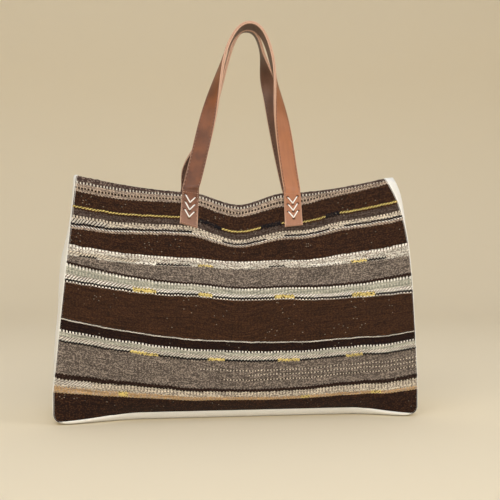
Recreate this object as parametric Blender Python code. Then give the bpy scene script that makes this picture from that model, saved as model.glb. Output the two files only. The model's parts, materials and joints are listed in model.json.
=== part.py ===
"""Striped kilim tote: two woven panels, a cotton gusset, a cotton lining and two leather handles.

The bag stands on its gusset with its front panel facing -Y. Its origin is on the floor, under
the middle of the bag. All lengths are in metres.
"""

import math

import bmesh
import bpy
from mathutils import Vector

# Bag body
TOP_LEFT_HALF_WIDTH = 0.249
TOP_RIGHT_HALF_WIDTH = 0.2335
LEFT_FLARE = 0.032
RIGHT_FLARE = 0.048
RIGHT_EVEN_TAPER = 0.33
RIGHT_DRAW_IN_POWER = 6.5
BASE_HALF_DEPTH = 0.080
MOUTH_HALF_DEPTH_MIDDLE = 0.050
MOUTH_HALF_DEPTH_CORNER = 0.064
MOUTH_TAPER_POWER = 1.6
PANEL_BELLY = 0.008
BELLY_FADE = 0.6
MOUTH_CORNER_HEIGHT = 0.376
MOUTH_HANDLE_HEIGHT = 0.352
MOUTH_DIP_HEIGHT = 0.333
MOUTH_RISE_POWER = 1.6
CORNER_RADIUS = 0.014
SEAM_CORNER_HEIGHT = 0.003
SEAM_MIDDLE_HEIGHT = 0.012
CURL_LENGTH = 0.045
CURL_ANGLE = math.radians(62)
LEAST_CURL = 0.001
CURL_FADE_LEFT = 0.46
CURL_FADE_RIGHT = 0.36

# Cloth
KILIM_THICKNESS = 0.0040
GUSSET_THICKNESS = 0.0030
LINING_THICKNESS = 0.0010
RAISED_LINE = 0.0007
SEAM_GAP = 0.0007
SEAT_GAP = 0.0003
LINING_CLEARANCE = 0.0008
LINING_MOUTH_SETBACK = 0.004
LINING_ROUNDING = 0.010
GUSSET_TURN = 0.015

# Outward swell of the gusset's sides, as height above the floor and swell
LEFT_SWELL = ((0.003, 0.003), (0.030, 0.006), (0.150, 0.010), (0.240, 0.014), (0.330, 0.005),
              (0.376, 0.007))
RIGHT_SWELL = ((0.003, 0.003), (0.030, 0.005), (0.150, 0.008), (0.280, 0.012), (0.376, 0.027))

# Handles
STRAP_WIDTH = 0.026
LEATHER_THICKNESS = 0.0020
END_WIDTH = 0.028
END_LENGTH = 0.058
END_RISE = 0.005
END_SPLAY_LEFT = math.radians(4)
END_SPLAY_RIGHT = math.radians(1)
END_TILT_LEFT = math.radians(16)
END_TILT_RIGHT = math.radians(6)
TILT_RUN = 0.014
FOOT_HALF_SPACING = 0.0795
HANDLE_CENTRE = 0.005
BACK_FOOT_HALF_SPACING = 0.088
BACK_HANDLE_CENTRE = 0.014
ARCH_CENTRE = 0.021
HANDLE_RISE = 0.272
ARCH_REACH = 0.038
TWIST_EARLY = (0.08, 0.76)
TWIST_LATE = (0.28, 0.82)
LEG_LEAN = 0.218
LEG_REACH = 0.110
ARCH_GAP = 0.0015
HINGE_STANDOFF = 0.0025
HINGE_GAP = 0.0009
FOOT_RUN = 0.020

# Chevron stitches
THREAD_RADIUS = 0.0006
CHEVRON_HALF_WIDTH = 0.0072
CHEVRON_HEIGHT = 0.0100
CHEVRON_PITCH = 0.0113
FIRST_CHEVRON_DROP = 0.0125
CHEVRONS = 3
ARM_STEPS = 3
HOLE_RADIUS = 0.0012
THREAD_DIP = 0.0006

# Mesh density
COLUMNS = 20
EDGE_CROWDING = 0.15
ROW_HEIGHT = 0.021
ACROSS_GUSSET = (0.0, 0.05, 0.12, 0.3, 0.5, 0.7, 0.88, 0.95, 1.0)
CLOSE_ROWS = 6
LINING_RINGS = 5
STRAP_STATIONS = 44
STRAP_COLUMNS = 3
ARCH_CROWN = 0.02

# Small steps for measuring directions on the curved surfaces
STATION_STEP = 0.002
STEP_ACROSS = 0.004
STEP_DOWN = 0.0005
STEP_OVER_GUSSET = 0.01
INSIDE_SHARE = 0.98
INSIDE_DROP = 0.002
SHARPEST_MITRE = 0.5
PLACING_STEPS = 4

YARNS = {
    "dark_brown": ((0.035, 0.014, 0.008), 0.95),
    "red_brown": ((0.060, 0.023, 0.012), 0.95),
    "black": ((0.007, 0.006, 0.007), 0.9),
    "grey": ((0.190, 0.155, 0.135), 0.95),
    "cream": ((0.550, 0.490, 0.385), 0.95),
    "tan": ((0.480, 0.300, 0.140), 0.95),
    "yellow": ((0.600, 0.450, 0.110), 0.9),
}

# The woven bands from the mouth down: yarn, then height at the left edge, in the middle and at
# the right edge. Bands under 5 mm are single raised lines. The last band fills what is left.
# The upper bands sag with the mouth. Lower down the bands are squeezed where the mouth sags.
BANDS = (
    ("grey", 0.0085, 0.0040, 0.0035),
    ("cream", 0.0115, 0.0141, 0.0035),
    ("dark_brown", 0.0223, 0.0230, 0.0305),
    ("yellow", 0.0042, 0.0038, 0.0048),
    ("grey", 0.0108, 0.0105, 0.0116),
    ("cream", 0.0110, 0.0057, 0.0072),
    ("black", 0.0036, 0.0026, 0.0026),
    ("cream", 0.0050, 0.0038, 0.0047),
    ("dark_brown", 0.0259, 0.0358, 0.0354),
    ("cream", 0.0179, 0.0103, 0.0174),
    ("grey", 0.0093, 0.0289, 0.0286),
    ("black", 0.0032, 0.0022, 0.0042),
    ("cream", 0.0225, 0.0130, 0.0210),
    ("black", 0.0024, 0.0027, 0.0026),
    ("cream", 0.0036, 0.0024, 0.0030),
    ("red_brown", 0.0506, 0.0643, 0.0559),
    ("cream", 0.0033, 0.0032, 0.0028),
    ("dark_brown", 0.0129, 0.0121, 0.0103),
    ("cream", 0.0148, 0.0126, 0.0124),
    ("black", 0.0025, 0.0031, 0.0026),
    ("grey", 0.0465, 0.0428, 0.0397),
    ("dark_brown", 0.0066, 0.0034, 0.0054),
    ("cream", 0.0129, 0.0092, 0.0140),
    ("tan", 0.0096, 0.0051, 0.0050),
    ("dark_brown", None, None, None),
)
RAISED_LINE_HEIGHT = 0.005
SAG_TAKEN_UP = ((0.060, 0.0), (0.105, 0.75), (0.165, 0.75), (0.230, 1.0))
# The upper bands also sway: how far they lie lower, by place across, and how much of it by depth
SWAY = ((-1.0, 0.0030), (-0.8, 0.0020), (-0.42, -0.0035), (-0.1, 0.0), (0.05, 0.0), (0.36, 0.0050),
        (0.65, -0.0030), (1.0, -0.0030))
SWAY_SHARE = ((0.0, 0.0), (0.022, 1.0), (0.080, 1.0), (0.125, 0.0))
LAST_BAND_ROWS = (0.3, 0.55, 0.72, 0.86, 1.0)


def smooth(value):
    """Eases a value from 0 to 1."""
    value = min(max(value, 0.0), 1.0)
    return value * value * (3 - 2 * value)


def read_curve(points, position):
    """Reads a list of places and values at one place, smoothly between its points."""
    for (low, low_value), (high, high_value) in zip(points, points[1:]):
        if position <= high:
            return low_value + (high_value - low_value) * smooth((position - low) / (high - low))
    return points[-1][1]


def clear_scene():
    for item in list(bpy.data.objects):
        bpy.data.objects.remove(item, do_unlink=True)


def make_material(name, colour, roughness):
    material = bpy.data.materials.new(name)
    material.use_nodes = True
    shader = material.node_tree.nodes["Principled BSDF"]
    shader.inputs["Base Color"].default_value = (*colour, 1.0)
    shader.inputs["Roughness"].default_value = roughness
    shader.inputs["Metallic"].default_value = 0.0
    return material


def face_outwards(shell):
    """Turns the faces of a closed shell outwards."""
    if shell.calc_volume(signed=True) < 0:
        bmesh.ops.reverse_faces(shell, faces=shell.faces[:])


def add_object(name, mesh_builder, materials):
    """Turns a bmesh into one named object."""
    mesh = bpy.data.meshes.new(name)
    mesh_builder.to_mesh(mesh)
    mesh_builder.free()
    for material in materials:
        mesh.materials.append(material)
    item = bpy.data.objects.new(name, mesh)
    bpy.context.collection.objects.link(item)
    return item


# Shape of a panel
# A point of the front panel's outer face is given by across, from -1 at the left edge to 1 at
# the right edge, and by drop, the length of cloth between the mouth and the point.

def curl_share(across):
    """How far the lower edge turns under: fully in the middle, not at all at the corners."""
    fade = CURL_FADE_LEFT if across < 0 else CURL_FADE_RIGHT
    return smooth((1 - abs(across)) / fade)


def mouth_height(across):
    """The mouth falls from its corners to the handles, and sags between the handles."""
    handle = FOOT_HALF_SPACING / TOP_LEFT_HALF_WIDTH
    away = abs(across)
    if away > handle:
        share = ((away - handle) / (1 - handle)) ** MOUTH_RISE_POWER
        return MOUTH_HANDLE_HEIGHT + (MOUTH_CORNER_HEIGHT - MOUTH_HANDLE_HEIGHT) * share
    return MOUTH_DIP_HEIGHT + (MOUTH_HANDLE_HEIGHT - MOUTH_DIP_HEIGHT) * smooth(away / handle)


def mouth_half_depth(across):
    return MOUTH_HALF_DEPTH_MIDDLE + (MOUTH_HALF_DEPTH_CORNER - MOUTH_HALF_DEPTH_MIDDLE) * abs(across)


def curl_turn(across):
    return max(CURL_ANGLE * curl_share(across), LEAST_CURL)


def seam_height(across):
    return SEAM_CORNER_HEIGHT + (SEAM_MIDDLE_HEIGHT - SEAM_CORNER_HEIGHT) * curl_share(across)


def curl_top(across):
    """Height at which the lower edge starts to turn under."""
    turn = curl_turn(across)
    return seam_height(across) + CURL_LENGTH * math.sin(turn) / turn


def face_drop(across):
    return mouth_height(across) - curl_top(across)


def panel_drop(across):
    return face_drop(across) + CURL_LENGTH


def bottom_half_width(across):
    if across < 0:
        return TOP_LEFT_HALF_WIDTH + LEFT_FLARE
    return TOP_RIGHT_HALF_WIDTH + RIGHT_FLARE


def edge_half_width(across, share, height):
    """Half width at one height. The right edge is drawn in near the mouth."""
    if across < 0:
        half = bottom_half_width(across) - LEFT_FLARE * share
    else:
        drawn_in = share ** RIGHT_DRAW_IN_POWER
        pull = RIGHT_EVEN_TAPER * share + (1 - RIGHT_EVEN_TAPER) * drawn_in
        half = bottom_half_width(across) - RIGHT_FLARE * pull
    above = height - SEAM_CORNER_HEIGHT
    if above < CORNER_RADIUS:
        below_centre = CORNER_RADIUS - max(above, 0.0)
        half -= CORNER_RADIUS - math.sqrt(max(CORNER_RADIUS ** 2 - below_centre ** 2, 0.0))
    return half


def face_point(across, drop):
    """A point on the outer face of the front panel."""
    flat = face_drop(across)
    if drop <= flat:
        share = 1 - drop / flat
        height = curl_top(across) + flat * share
        narrowing = BASE_HALF_DEPTH - mouth_half_depth(across)
        taper = narrowing * max(share, 0.0) ** MOUTH_TAPER_POWER
        belly = PANEL_BELLY * math.sin(math.pi * share) * (1 - BELLY_FADE * across * across)
        depth = BASE_HALF_DEPTH - taper + belly
        corner_share, corner_height = share, height
    else:
        turn = curl_turn(across)
        radius = CURL_LENGTH / turn
        angle = turn * (drop - flat) / CURL_LENGTH
        height = curl_top(across) - radius * math.sin(angle)
        depth = BASE_HALF_DEPTH - radius * (1 - math.cos(angle))
        corner_share = 0.0
        corner_height = SEAM_CORNER_HEIGHT + panel_drop(across) - drop
    return Vector((across * edge_half_width(across, corner_share, corner_height), -depth, height))


def face_normal(across, drop):
    """Outward direction of the front panel's outer face."""
    along = face_point(across + STEP_ACROSS, drop) - face_point(across - STEP_ACROSS, drop)
    down = face_point(across, drop + STEP_DOWN) - face_point(across, drop - STEP_DOWN)
    return down.cross(along).normalized()


def column_across(column):
    """Place across of a grid column. The columns lie closer towards the panel's edges."""
    place = -1 + 2 * column / COLUMNS
    return place * (1 + EDGE_CROWDING - EDGE_CROWDING * place * place)


# Woven bands

def band_height(band, across):
    """Height of a band at one place across, from its heights at the left, middle and right."""
    _, left, middle, right = band
    return middle + (right - left) / 2 * across + ((left + right) / 2 - middle) * across * across


def band_rows():
    """Grid rows down a panel, each with its band, its share of that band and its relief."""
    rows = [(0, 0.0, 0.0)]
    for index, band in enumerate(BANDS[:-1]):
        if band[2] < RAISED_LINE_HEIGHT:
            rows.append((index, 0.5, RAISED_LINE))
        steps = max(1, math.ceil(band[2] / ROW_HEIGHT))
        rows.extend((index, step / steps, 0.0) for step in range(1, steps + 1))
    rows.extend((len(BANDS) - 1, share, 0.0) for share in LAST_BAND_ROWS)
    return rows


def band_top(index, across):
    """Length of cloth from the mouth to the top of a band."""
    if index == len(BANDS):
        return panel_drop(across)
    heights = sum(band_height(band, across) for band in BANDS[:index])
    sag = max(MOUTH_HANDLE_HEIGHT - mouth_height(across), 0.0)
    sway = read_curve(SWAY, across) * read_curve(SWAY_SHARE, heights)
    return heights - sag * read_curve(SAG_TAKEN_UP, heights) + sway


def row_drop(row, across):
    """Length of cloth from the mouth to a grid row."""
    index, share, _ = row
    above = band_top(index, across)
    return above + (band_top(index + 1, across) - above) * share


# Seam between a panel and the gusset

class SeamStation:
    """One place on the front seam, with the mitre that the two cloths share there."""

    def __init__(self, across, drop, tangent, swell, on_bottom):
        self.point = face_point(across, drop)
        self.swell = swell
        self.on_bottom = on_bottom
        if on_bottom:
            self.outward = Vector((0, 0, -1))
        else:
            self.outward = Vector((tangent.z, 0, -tangent.x)).normalized()
        self.panel_normal = face_normal(across, drop)
        leaving_panel = tangent.cross(self.panel_normal).normalized()
        inside = face_point(across * INSIDE_SHARE, drop)
        if on_bottom:
            inside = face_point(across, drop - INSIDE_DROP)
        if leaving_panel.dot(self.point - inside) < 0:
            leaving_panel.negate()
        leaving_seam = (self.gusset_point(1 - INSIDE_SHARE) - self.point).normalized()
        self.across_seam = (leaving_panel + leaving_seam).normalized()
        self.mitre = self.across_seam.cross(tangent).normalized()
        if self.mitre.dot(self.panel_normal) > 0:
            self.mitre.negate()

    def gusset_point(self, share):
        """A point of the gusset's outer face, share 0 at the front seam and 1 at the back."""
        point = self.point.copy()
        point.y *= 1 - 2 * share
        if self.on_bottom:
            from_seam = min(share, 1 - share) * 2 * abs(self.point.y)
            amount = 1 - (1 - min(from_seam / GUSSET_TURN, 1.0)) ** 2
        else:
            amount = 4 * share * (1 - share)
        return point + self.outward * self.swell * amount

    def mitre_point(self, depth, side):
        """A point on the mitred edge; side is -1 on the panel and 1 on the gusset."""
        reach = depth / max(-self.mitre.dot(self.panel_normal), SHARPEST_MITRE)
        return self.point + self.mitre * reach + self.across_seam * side * SEAM_GAP / 2


def seam_places(rows):
    """Places along the seam: down the left edge, along the bottom and up the right edge."""
    left = [(-1.0, row_drop(row, -1.0), False) for row in rows]
    bottom = [(column_across(step), None, True) for step in range(1, COLUMNS)]
    right = [(1.0, row_drop(row, 1.0), False) for row in reversed(rows)]
    left[-1] = (left[-1][0], left[-1][1], True)
    right[0] = (right[0][0], right[0][1], True)
    return left + bottom + right


def seam_stations(rows):
    places = [(across, panel_drop(across) if drop is None else drop, bottom)
              for across, drop, bottom in seam_places(rows)]
    points = [face_point(across, drop) for across, drop, _ in places]
    stations = []
    for index, (across, drop, on_bottom) in enumerate(places):
        before = points[max(index - 1, 0)]
        after = points[min(index + 1, len(points) - 1)]
        tangent = (after - before).normalized()
        height = points[index].z
        if on_bottom:
            swell = height
        else:
            swell = read_curve(LEFT_SWELL if across < 0 else RIGHT_SWELL, height)
        stations.append(SeamStation(across, drop, tangent, swell, on_bottom))
    return stations


# Cloth pieces

def double_grid(columns, rows, place):
    """A closed sheet: a grid and its extruded copy, each corner put where place says.

    Place takes the column, the row and whether the corner is on the outer face.
    """
    sheet = bmesh.new()
    row_layer = sheet.faces.layers.int.new("row")
    bmesh.ops.create_grid(sheet, x_segments=columns, y_segments=rows, size=0.5)
    inner = list(sheet.verts)
    grown = bmesh.ops.extrude_face_region(sheet, geom=sheet.faces[:])["geom"]
    outer = [item for item in grown if isinstance(item, bmesh.types.BMVert)]
    for face in sheet.faces:
        middle = face.calc_center_median()
        face[row_layer] = min(int((0.5 - middle.y) * rows), rows - 1)
    for verts, on_outer in ((inner, False), (outer, True)):
        for vert in verts:
            column = round((vert.co.x + 0.5) * columns)
            row = round((0.5 - vert.co.y) * rows)
            vert.co = place(column, row, on_outer)
    face_outwards(sheet)
    return sheet, row_layer


def panel_grid(rows, stations):
    """Corners of the front panel. Its edges follow the mitre that the gusset also follows."""
    count = len(rows)
    left = stations[:count]
    right = list(reversed(stations[-count:]))
    bottom = [left[-1]] + stations[count:-count] + [right[-1]]

    def place(column, row, on_outer):
        depth = 0.0 if on_outer else KILIM_THICKNESS
        if row == count - 1:
            return bottom[column].mitre_point(depth, -1)
        if column == 0:
            return left[row].mitre_point(depth, -1)
        if column == COLUMNS:
            return right[row].mitre_point(depth, -1)
        across = column_across(column)
        drop = row_drop(rows[row], across)
        relief = rows[row][2] if on_outer else 0.0
        return face_point(across, drop) + face_normal(across, drop) * (relief - depth)

    return place


def make_panel(name, rows, stations, yarns, facing):
    """One woven panel with its bands as fields of yarn; facing is 1 in front and -1 behind."""
    place_front = panel_grid(rows, stations)

    def place(column, row, on_outer):
        corner = place_front(column, row, on_outer)
        corner.y *= facing
        return corner

    sheet, row_layer = double_grid(COLUMNS, len(rows) - 1, place)
    yarn_names = list(yarns)
    for face in sheet.faces:
        band = rows[face[row_layer] + 1][0]
        face.material_index = yarn_names.index(BANDS[band][0])
    return add_object(name, sheet, yarns.values())


def gusset_rows(rows):
    """The side rows that the gusset's strip is laid on: flat ones, about two bands apart."""
    flat = [row for row in rows if row[2] == 0.0]
    lowest = len(LAST_BAND_ROWS)
    return flat[:CLOSE_ROWS] + flat[CLOSE_ROWS:-lowest:2] + flat[-lowest:]


def make_gusset(stations, cloth):
    """The strip that runs down one side, under the bag and up the other side."""
    strips = len(ACROSS_GUSSET) - 1

    def inward(index, share):
        along = stations[min(index + 1, len(stations) - 1)].gusset_point(share)
        along -= stations[max(index - 1, 0)].gusset_point(share)
        over = stations[index].gusset_point(share + STEP_OVER_GUSSET)
        over -= stations[index].gusset_point(share - STEP_OVER_GUSSET)
        normal = along.cross(over).normalized()
        return normal if normal.dot(stations[index].outward) < 0 else -normal

    def place(column, row, on_outer):
        station = stations[row]
        depth = 0.0 if on_outer else GUSSET_THICKNESS
        if column in (0, strips):
            corner = station.mitre_point(depth, 1)
            if column == strips:
                corner.y = -corner.y
            return corner
        share = ACROSS_GUSSET[column]
        return station.gusset_point(share) + inward(row, share) * depth

    sheet, _ = double_grid(strips, len(stations) - 1, place)
    return add_object("gusset", sheet, [cloth])


def lining_ring(drop_share, side_steps):
    """One ring of the lining's outer face, at a share of the panel's upright face."""
    front = []
    clearance = KILIM_THICKNESS + LINING_CLEARANCE
    side_clearance = GUSSET_THICKNESS + LINING_CLEARANCE
    for column in range(COLUMNS + 1):
        across = column_across(column)
        lowest = face_drop(across) - LINING_ROUNDING
        drop = LINING_MOUTH_SETBACK + (lowest - LINING_MOUTH_SETBACK) * drop_share
        point = face_point(across, drop) - face_normal(across, drop) * clearance
        if column in (0, COLUMNS):
            point.x -= math.copysign(side_clearance + KILIM_THICKNESS, across)
        front.append(point)
    right = []
    for step in range(1, side_steps):
        share = step / side_steps
        end = front[-1]
        swell = read_curve(RIGHT_SWELL, end.z) * 4 * share * (1 - share)
        right.append(Vector((end.x + swell, end.y * (1 - 2 * share), end.z)))
    left = []
    for step in range(1, side_steps):
        share = step / side_steps
        end = front[0]
        swell = read_curve(LEFT_SWELL, end.z) * 4 * share * (1 - share)
        left.append(Vector((end.x - swell, -end.y * (1 - 2 * share), end.z)))
    back = [Vector((point.x, -point.y, point.z)) for point in reversed(front)]
    return front + right + back + left


def lining_floor_ring(inset, height, side_steps):
    """A ring of the lining below the upright face, set in from the panel's lower seam."""
    front = []
    for column in range(COLUMNS + 1):
        across = column_across(column)
        seam = face_point(across, panel_drop(across))
        half = bottom_half_width(across) - CORNER_RADIUS - inset
        front.append(Vector((across * half, seam.y + inset, height)))
    right = [Vector((front[-1].x, front[-1].y * (1 - 2 * step / side_steps), height))
             for step in range(1, side_steps)]
    left = [Vector((front[0].x, -front[0].y * (1 - 2 * step / side_steps), height))
            for step in range(1, side_steps)]
    back = [Vector((point.x, -point.y, point.z)) for point in reversed(front)]
    return front + right + back + left


def make_lining(cloth):
    """A thin cotton sack inside, lofted from rings and given its thickness inwards."""
    side_steps = 4
    over_curl = SEAM_MIDDLE_HEIGHT + KILIM_THICKNESS + LINING_ROUNDING
    on_gusset = GUSSET_THICKNESS + LINING_CLEARANCE
    rings = [lining_ring(step / LINING_RINGS, side_steps) for step in range(LINING_RINGS + 1)]
    rings.append(lining_floor_ring(LINING_ROUNDING, over_curl, side_steps))
    rings.append(lining_floor_ring(GUSSET_TURN + LINING_ROUNDING, on_gusset, side_steps))
    sack = bmesh.new()
    loops = []
    for ring in rings:
        verts = [sack.verts.new(point) for point in ring]
        loops.append([sack.edges.new((verts[index - 1], verts[index])) for index in range(len(verts))])
    for upper, lower in zip(loops, loops[1:]):
        bmesh.ops.bridge_loops(sack, edges=upper + lower)
    bmesh.ops.edgeloop_fill(sack, edges=loops[-1])
    bmesh.ops.recalc_face_normals(sack, faces=sack.faces[:])
    middle = sum((face.normal.z for face in sack.faces if len(face.verts) > 4), 0.0)
    if middle > 0:
        bmesh.ops.reverse_faces(sack, faces=sack.faces[:])
    lining = add_object("lining", sack, [cloth])
    wall = lining.modifiers.new("wall", "SOLIDIFY")
    wall.thickness = LINING_THICKNESS
    wall.offset = -1.0
    wall.use_even_offset = True
    return lining


# Handles

END_SEAT = RAISED_LINE + SEAT_GAP
HINGE_HEIGHT = MOUTH_HANDLE_HEIGHT + END_RISE

# Each handle: middle of its feet, half the distance between them, and the leg that twists early
FRONT_HANDLE = (HANDLE_CENTRE, FOOT_HALF_SPACING, 1)
BACK_HANDLE = (BACK_HANDLE_CENTRE, BACK_FOOT_HALF_SPACING, -1)


def over_panel(x, height, lift):
    """A point at a distance over the front panel's outer face, from its x and its height."""
    across = x / TOP_LEFT_HALF_WIDTH
    for _ in range(PLACING_STEPS):
        share = (height - curl_top(across)) / face_drop(across)
        across = x / edge_half_width(across, share, height)
    drop = mouth_height(across) - height
    return face_point(across, drop) + face_normal(across, drop) * lift


def end_point(foot, below, aside, lift):
    """A point on a handle end, by length below the bend, distance aside and lift off its back.

    The end splays outwards. Below the bend it hangs askew, its lower edge tilted outwards and up.
    """
    outwards = math.copysign(1, foot)
    splay, tilt = (END_SPLAY_LEFT, END_TILT_LEFT) if foot < 0 else (END_SPLAY_RIGHT, END_TILT_RIGHT)
    x = foot + outwards * below * math.sin(splay) + aside
    height = HINGE_HEIGHT - below * math.cos(splay)
    height += outwards * aside * math.tan(tilt) * smooth(below / TILT_RUN)
    return over_panel(x, height, END_SEAT + lift)


def feet_of(handle):
    centre, half_spacing, _ = handle
    return centre - half_spacing, centre + half_spacing


def hinge_line(handle):
    """Depth of the handle's outer face where it leaves the bag, and depth of the bend's axis."""
    outer = min(end_point(foot, 0.0, aside, LEATHER_THICKNESS).y
                for foot in feet_of(handle) for aside in (-STRAP_WIDTH / 2, STRAP_WIDTH / 2))
    return outer, outer - HINGE_STANDOFF


def chevron_points(index, surface):
    """The two tips and the point of one V-shaped stitch, as positions on the handle's end."""
    top = FIRST_CHEVRON_DROP + index * CHEVRON_PITCH
    tips = (surface(top, -CHEVRON_HALF_WIDTH), surface(top, CHEVRON_HALF_WIDTH))
    return tips[0], surface(top + CHEVRON_HEIGHT, 0.0), tips[1]


def end_place(foot, facing):
    """Positions on one handle end, by length below its top edge, aside and lift off its back."""
    def place(below, aside, lift=0.0):
        point = end_point(foot, below, aside, lift)
        point.y *= facing
        return point

    return place


def make_end(name, foot, facing, leather):
    """The flat end of a strap on the panel, punched with three holes for each chevron."""
    place_on_end = end_place(foot, facing)
    rows, columns = 6, 1

    def place(column, row, on_outer):
        width = STRAP_WIDTH + (END_WIDTH - STRAP_WIDTH) * row / rows
        lift = LEATHER_THICKNESS if on_outer else 0.0
        return place_on_end(END_LENGTH * row / rows, width * (column / columns - 0.5), lift)

    sheet, _ = double_grid(columns, rows, place)
    end = add_object(name, sheet, [leather])
    punch = bmesh.new()
    for index in range(CHEVRONS):
        for tip in chevron_points(index, place_on_end):
            matrix = Vector((0, -facing, 0)).to_track_quat("Z", "Y").to_matrix().to_4x4()
            matrix.translation = tip
            bmesh.ops.create_cone(punch, cap_ends=True, segments=10, radius1=HOLE_RADIUS,
                                  radius2=HOLE_RADIUS, depth=LEATHER_THICKNESS * 4, matrix=matrix)
    cutter = add_object(name + "_punch", punch, [])
    cutter.hide_render = True
    cutter.display_type = "WIRE"
    holes = end.modifiers.new("holes", "BOOLEAN")
    holes.operation = "DIFFERENCE"
    holes.solver = "EXACT"
    holes.object = cutter
    return end


def make_chevrons(name, foot, facing, thread):
    """Three V-shaped stitches in thick thread, each dipping into its three holes."""
    place_on_end = end_place(foot, facing)
    proud = LEATHER_THICKNESS + THREAD_RADIUS + SEAT_GAP
    sunk = LEATHER_THICKNESS - THREAD_DIP
    for index in range(CHEVRONS):
        top = FIRST_CHEVRON_DROP + index * CHEVRON_PITCH
        route = [place_on_end(top, -CHEVRON_HALF_WIDTH, sunk)]
        for step in range(-ARM_STEPS, ARM_STEPS + 1):
            share = step / ARM_STEPS
            below = top + CHEVRON_HEIGHT * (1 - abs(share))
            route.append(place_on_end(below, CHEVRON_HALF_WIDTH * share, proud))
        route.append(place_on_end(top, CHEVRON_HALF_WIDTH, sunk))
        curve = bpy.data.curves.new(f"{name}_{index + 1}", "CURVE")
        curve.dimensions = "3D"
        curve.bevel_depth = THREAD_RADIUS
        curve.bevel_resolution = 1
        curve.use_fill_caps = True
        spline = curve.splines.new("POLY")
        spline.points.add(len(route) - 1)
        for point, position in zip(spline.points, route):
            point.co = (*position, 1.0)
        curve.materials.append(thread)
        stitch = bpy.data.objects.new(curve.name, curve)
        bpy.context.collection.objects.link(stitch)


def leg_point(handle, along, side):
    """A point of one leg in the handle's own plane, from the foot at 0 to the arch at 1."""
    centre, half_spacing, _ = handle
    start = Vector((half_spacing, 0.0))
    first = Vector((half_spacing - LEG_LEAN * LEG_REACH, LEG_REACH))
    second = Vector((ARCH_REACH, HANDLE_RISE))
    finish = Vector((0.0, HANDLE_RISE))
    rest = 1 - along
    point = (start * rest ** 3 + first * 3 * rest ** 2 * along
             + second * 3 * rest * along ** 2 + finish * along ** 3)
    shift = centre + (ARCH_CENTRE - centre) * point.y / HANDLE_RISE
    return Vector((shift + side * point.x, point.y))


def loop_point(handle, station):
    """A point of the whole loop, station 0 at the left foot and 1 at the right foot."""
    if station <= 0.5:
        return leg_point(handle, station * 2, -1)
    return leg_point(handle, 2 - station * 2, 1)


def strap_twist(handle, station):
    """Turn of the strap's face, from flat on the panel to facing away from the arch."""
    _, _, early_side = handle
    rise = loop_point(handle, station).y / HANDLE_RISE
    side = -1 if station <= 0.5 else 1
    first, last = TWIST_EARLY if side == early_side else TWIST_LATE
    return math.radians(90) * smooth((rise - first) / (last - first))


def strap_lean(handle):
    """Inward lean that brings the two arches side by side."""
    outer, _ = hinge_line(handle)
    reach = abs(outer) - STRAP_WIDTH / 2 - ARCH_GAP
    return math.asin(reach / HANDLE_RISE)


def strap_frames(handle, facing):
    """Centre of the outer face, face direction and width direction along the loop."""
    lean = strap_lean(handle)
    outer, _ = hinge_line(handle)
    outer *= facing
    up = Vector((0, facing * math.sin(lean), math.cos(lean)))
    front = Vector((0, -facing * math.cos(lean), math.sin(lean)))
    frames = []
    for index in range(STRAP_STATIONS + 1):
        station = index / STRAP_STATIONS
        flat = loop_point(handle, station)
        low = loop_point(handle, max(station - STATION_STEP, 0.0))
        high = loop_point(handle, min(station + STATION_STEP, 1.0))
        tangent = (Vector((1, 0, 0)) * (high.x - low.x) + up * (high.y - low.y)).normalized()
        away = tangent.cross(front) * facing
        out_of_arch = Vector((flat.x - ARCH_CENTRE, 0, 0)) + up * ARCH_CROWN
        if away.dot(out_of_arch) < 0:
            away.negate()
        twist = strap_twist(handle, station)
        face = front * math.cos(twist) + away * math.sin(twist)
        width = tangent.cross(face).normalized()
        squared = smooth(flat.y / FOOT_RUN)
        level = Vector((math.copysign(1, width.x), 0, 0))
        width = level.lerp(width, squared).normalized()
        face = Vector((0, -facing, 0)).lerp(face, squared).normalized()
        centre = Vector((flat.x, outer, HINGE_HEIGHT + HINGE_GAP)) + up * flat.y
        frames.append((centre, face, width))
    return frames


def make_strap(name, frames, lift, leather):
    """One leather layer, its flat section carried along the loop's frames."""
    def place(column, row, on_outer):
        centre, face, width = frames[row]
        aside = STRAP_WIDTH * (column / STRAP_COLUMNS - 0.5)
        height = lift if on_outer else lift - LEATHER_THICKNESS
        return centre + width * aside + face * height

    strap, _ = double_grid(STRAP_COLUMNS, STRAP_STATIONS, place)
    return add_object(name, strap, [leather])


def set_origin(item, origin):
    """Moves an object's origin without moving its shape."""
    for vert in item.data.vertices:
        vert.co -= origin
    item.location = origin


def make_handle(side, handle, facing, leather, thread):
    """A doubled loop that bends where it leaves the bag, with a flat sewn end at each foot."""
    frames = strap_frames(handle, facing)
    _, axis_depth = hinge_line(handle)
    axis = Vector((handle[0], axis_depth * facing, HINGE_HEIGHT))
    facing_layer = make_strap(side + "_handle_strap", frames, 0.0, leather)
    below = LEATHER_THICKNESS + SEAT_GAP
    backing = make_strap(side + "_handle_backing", frames, -below, leather)
    for layer in (facing_layer, backing):
        set_origin(layer, axis)
    for foot, place_name in zip(feet_of(handle), ("left", "right")):
        make_end(f"{side}_{place_name}_handle_end", foot, facing, leather)
        make_chevrons(f"{side}_{place_name}_chevron", foot, facing, thread)


def build():
    clear_scene()
    yarns = {name: make_material(name + "_yarn", *look) for name, look in YARNS.items()}
    cotton = make_material("gusset_cotton", (0.720, 0.690, 0.610), 0.9)
    lining_cotton = make_material("lining_cotton", (0.640, 0.600, 0.520), 0.9)
    leather = make_material("cognac_leather", (0.330, 0.120, 0.050), 0.45)
    thread = make_material("white_thread", (0.850, 0.830, 0.780), 0.8)
    rows = band_rows()
    stations = seam_stations(rows)
    make_panel("front_panel", rows, stations, yarns, 1)
    make_panel("back_panel", rows, stations, yarns, -1)
    make_gusset(seam_stations(gusset_rows(rows)), cotton)
    make_lining(lining_cotton)
    make_handle("front", FRONT_HANDLE, 1, leather, thread)
    make_handle("back", BACK_HANDLE, -1, leather, thread)


build()
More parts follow.
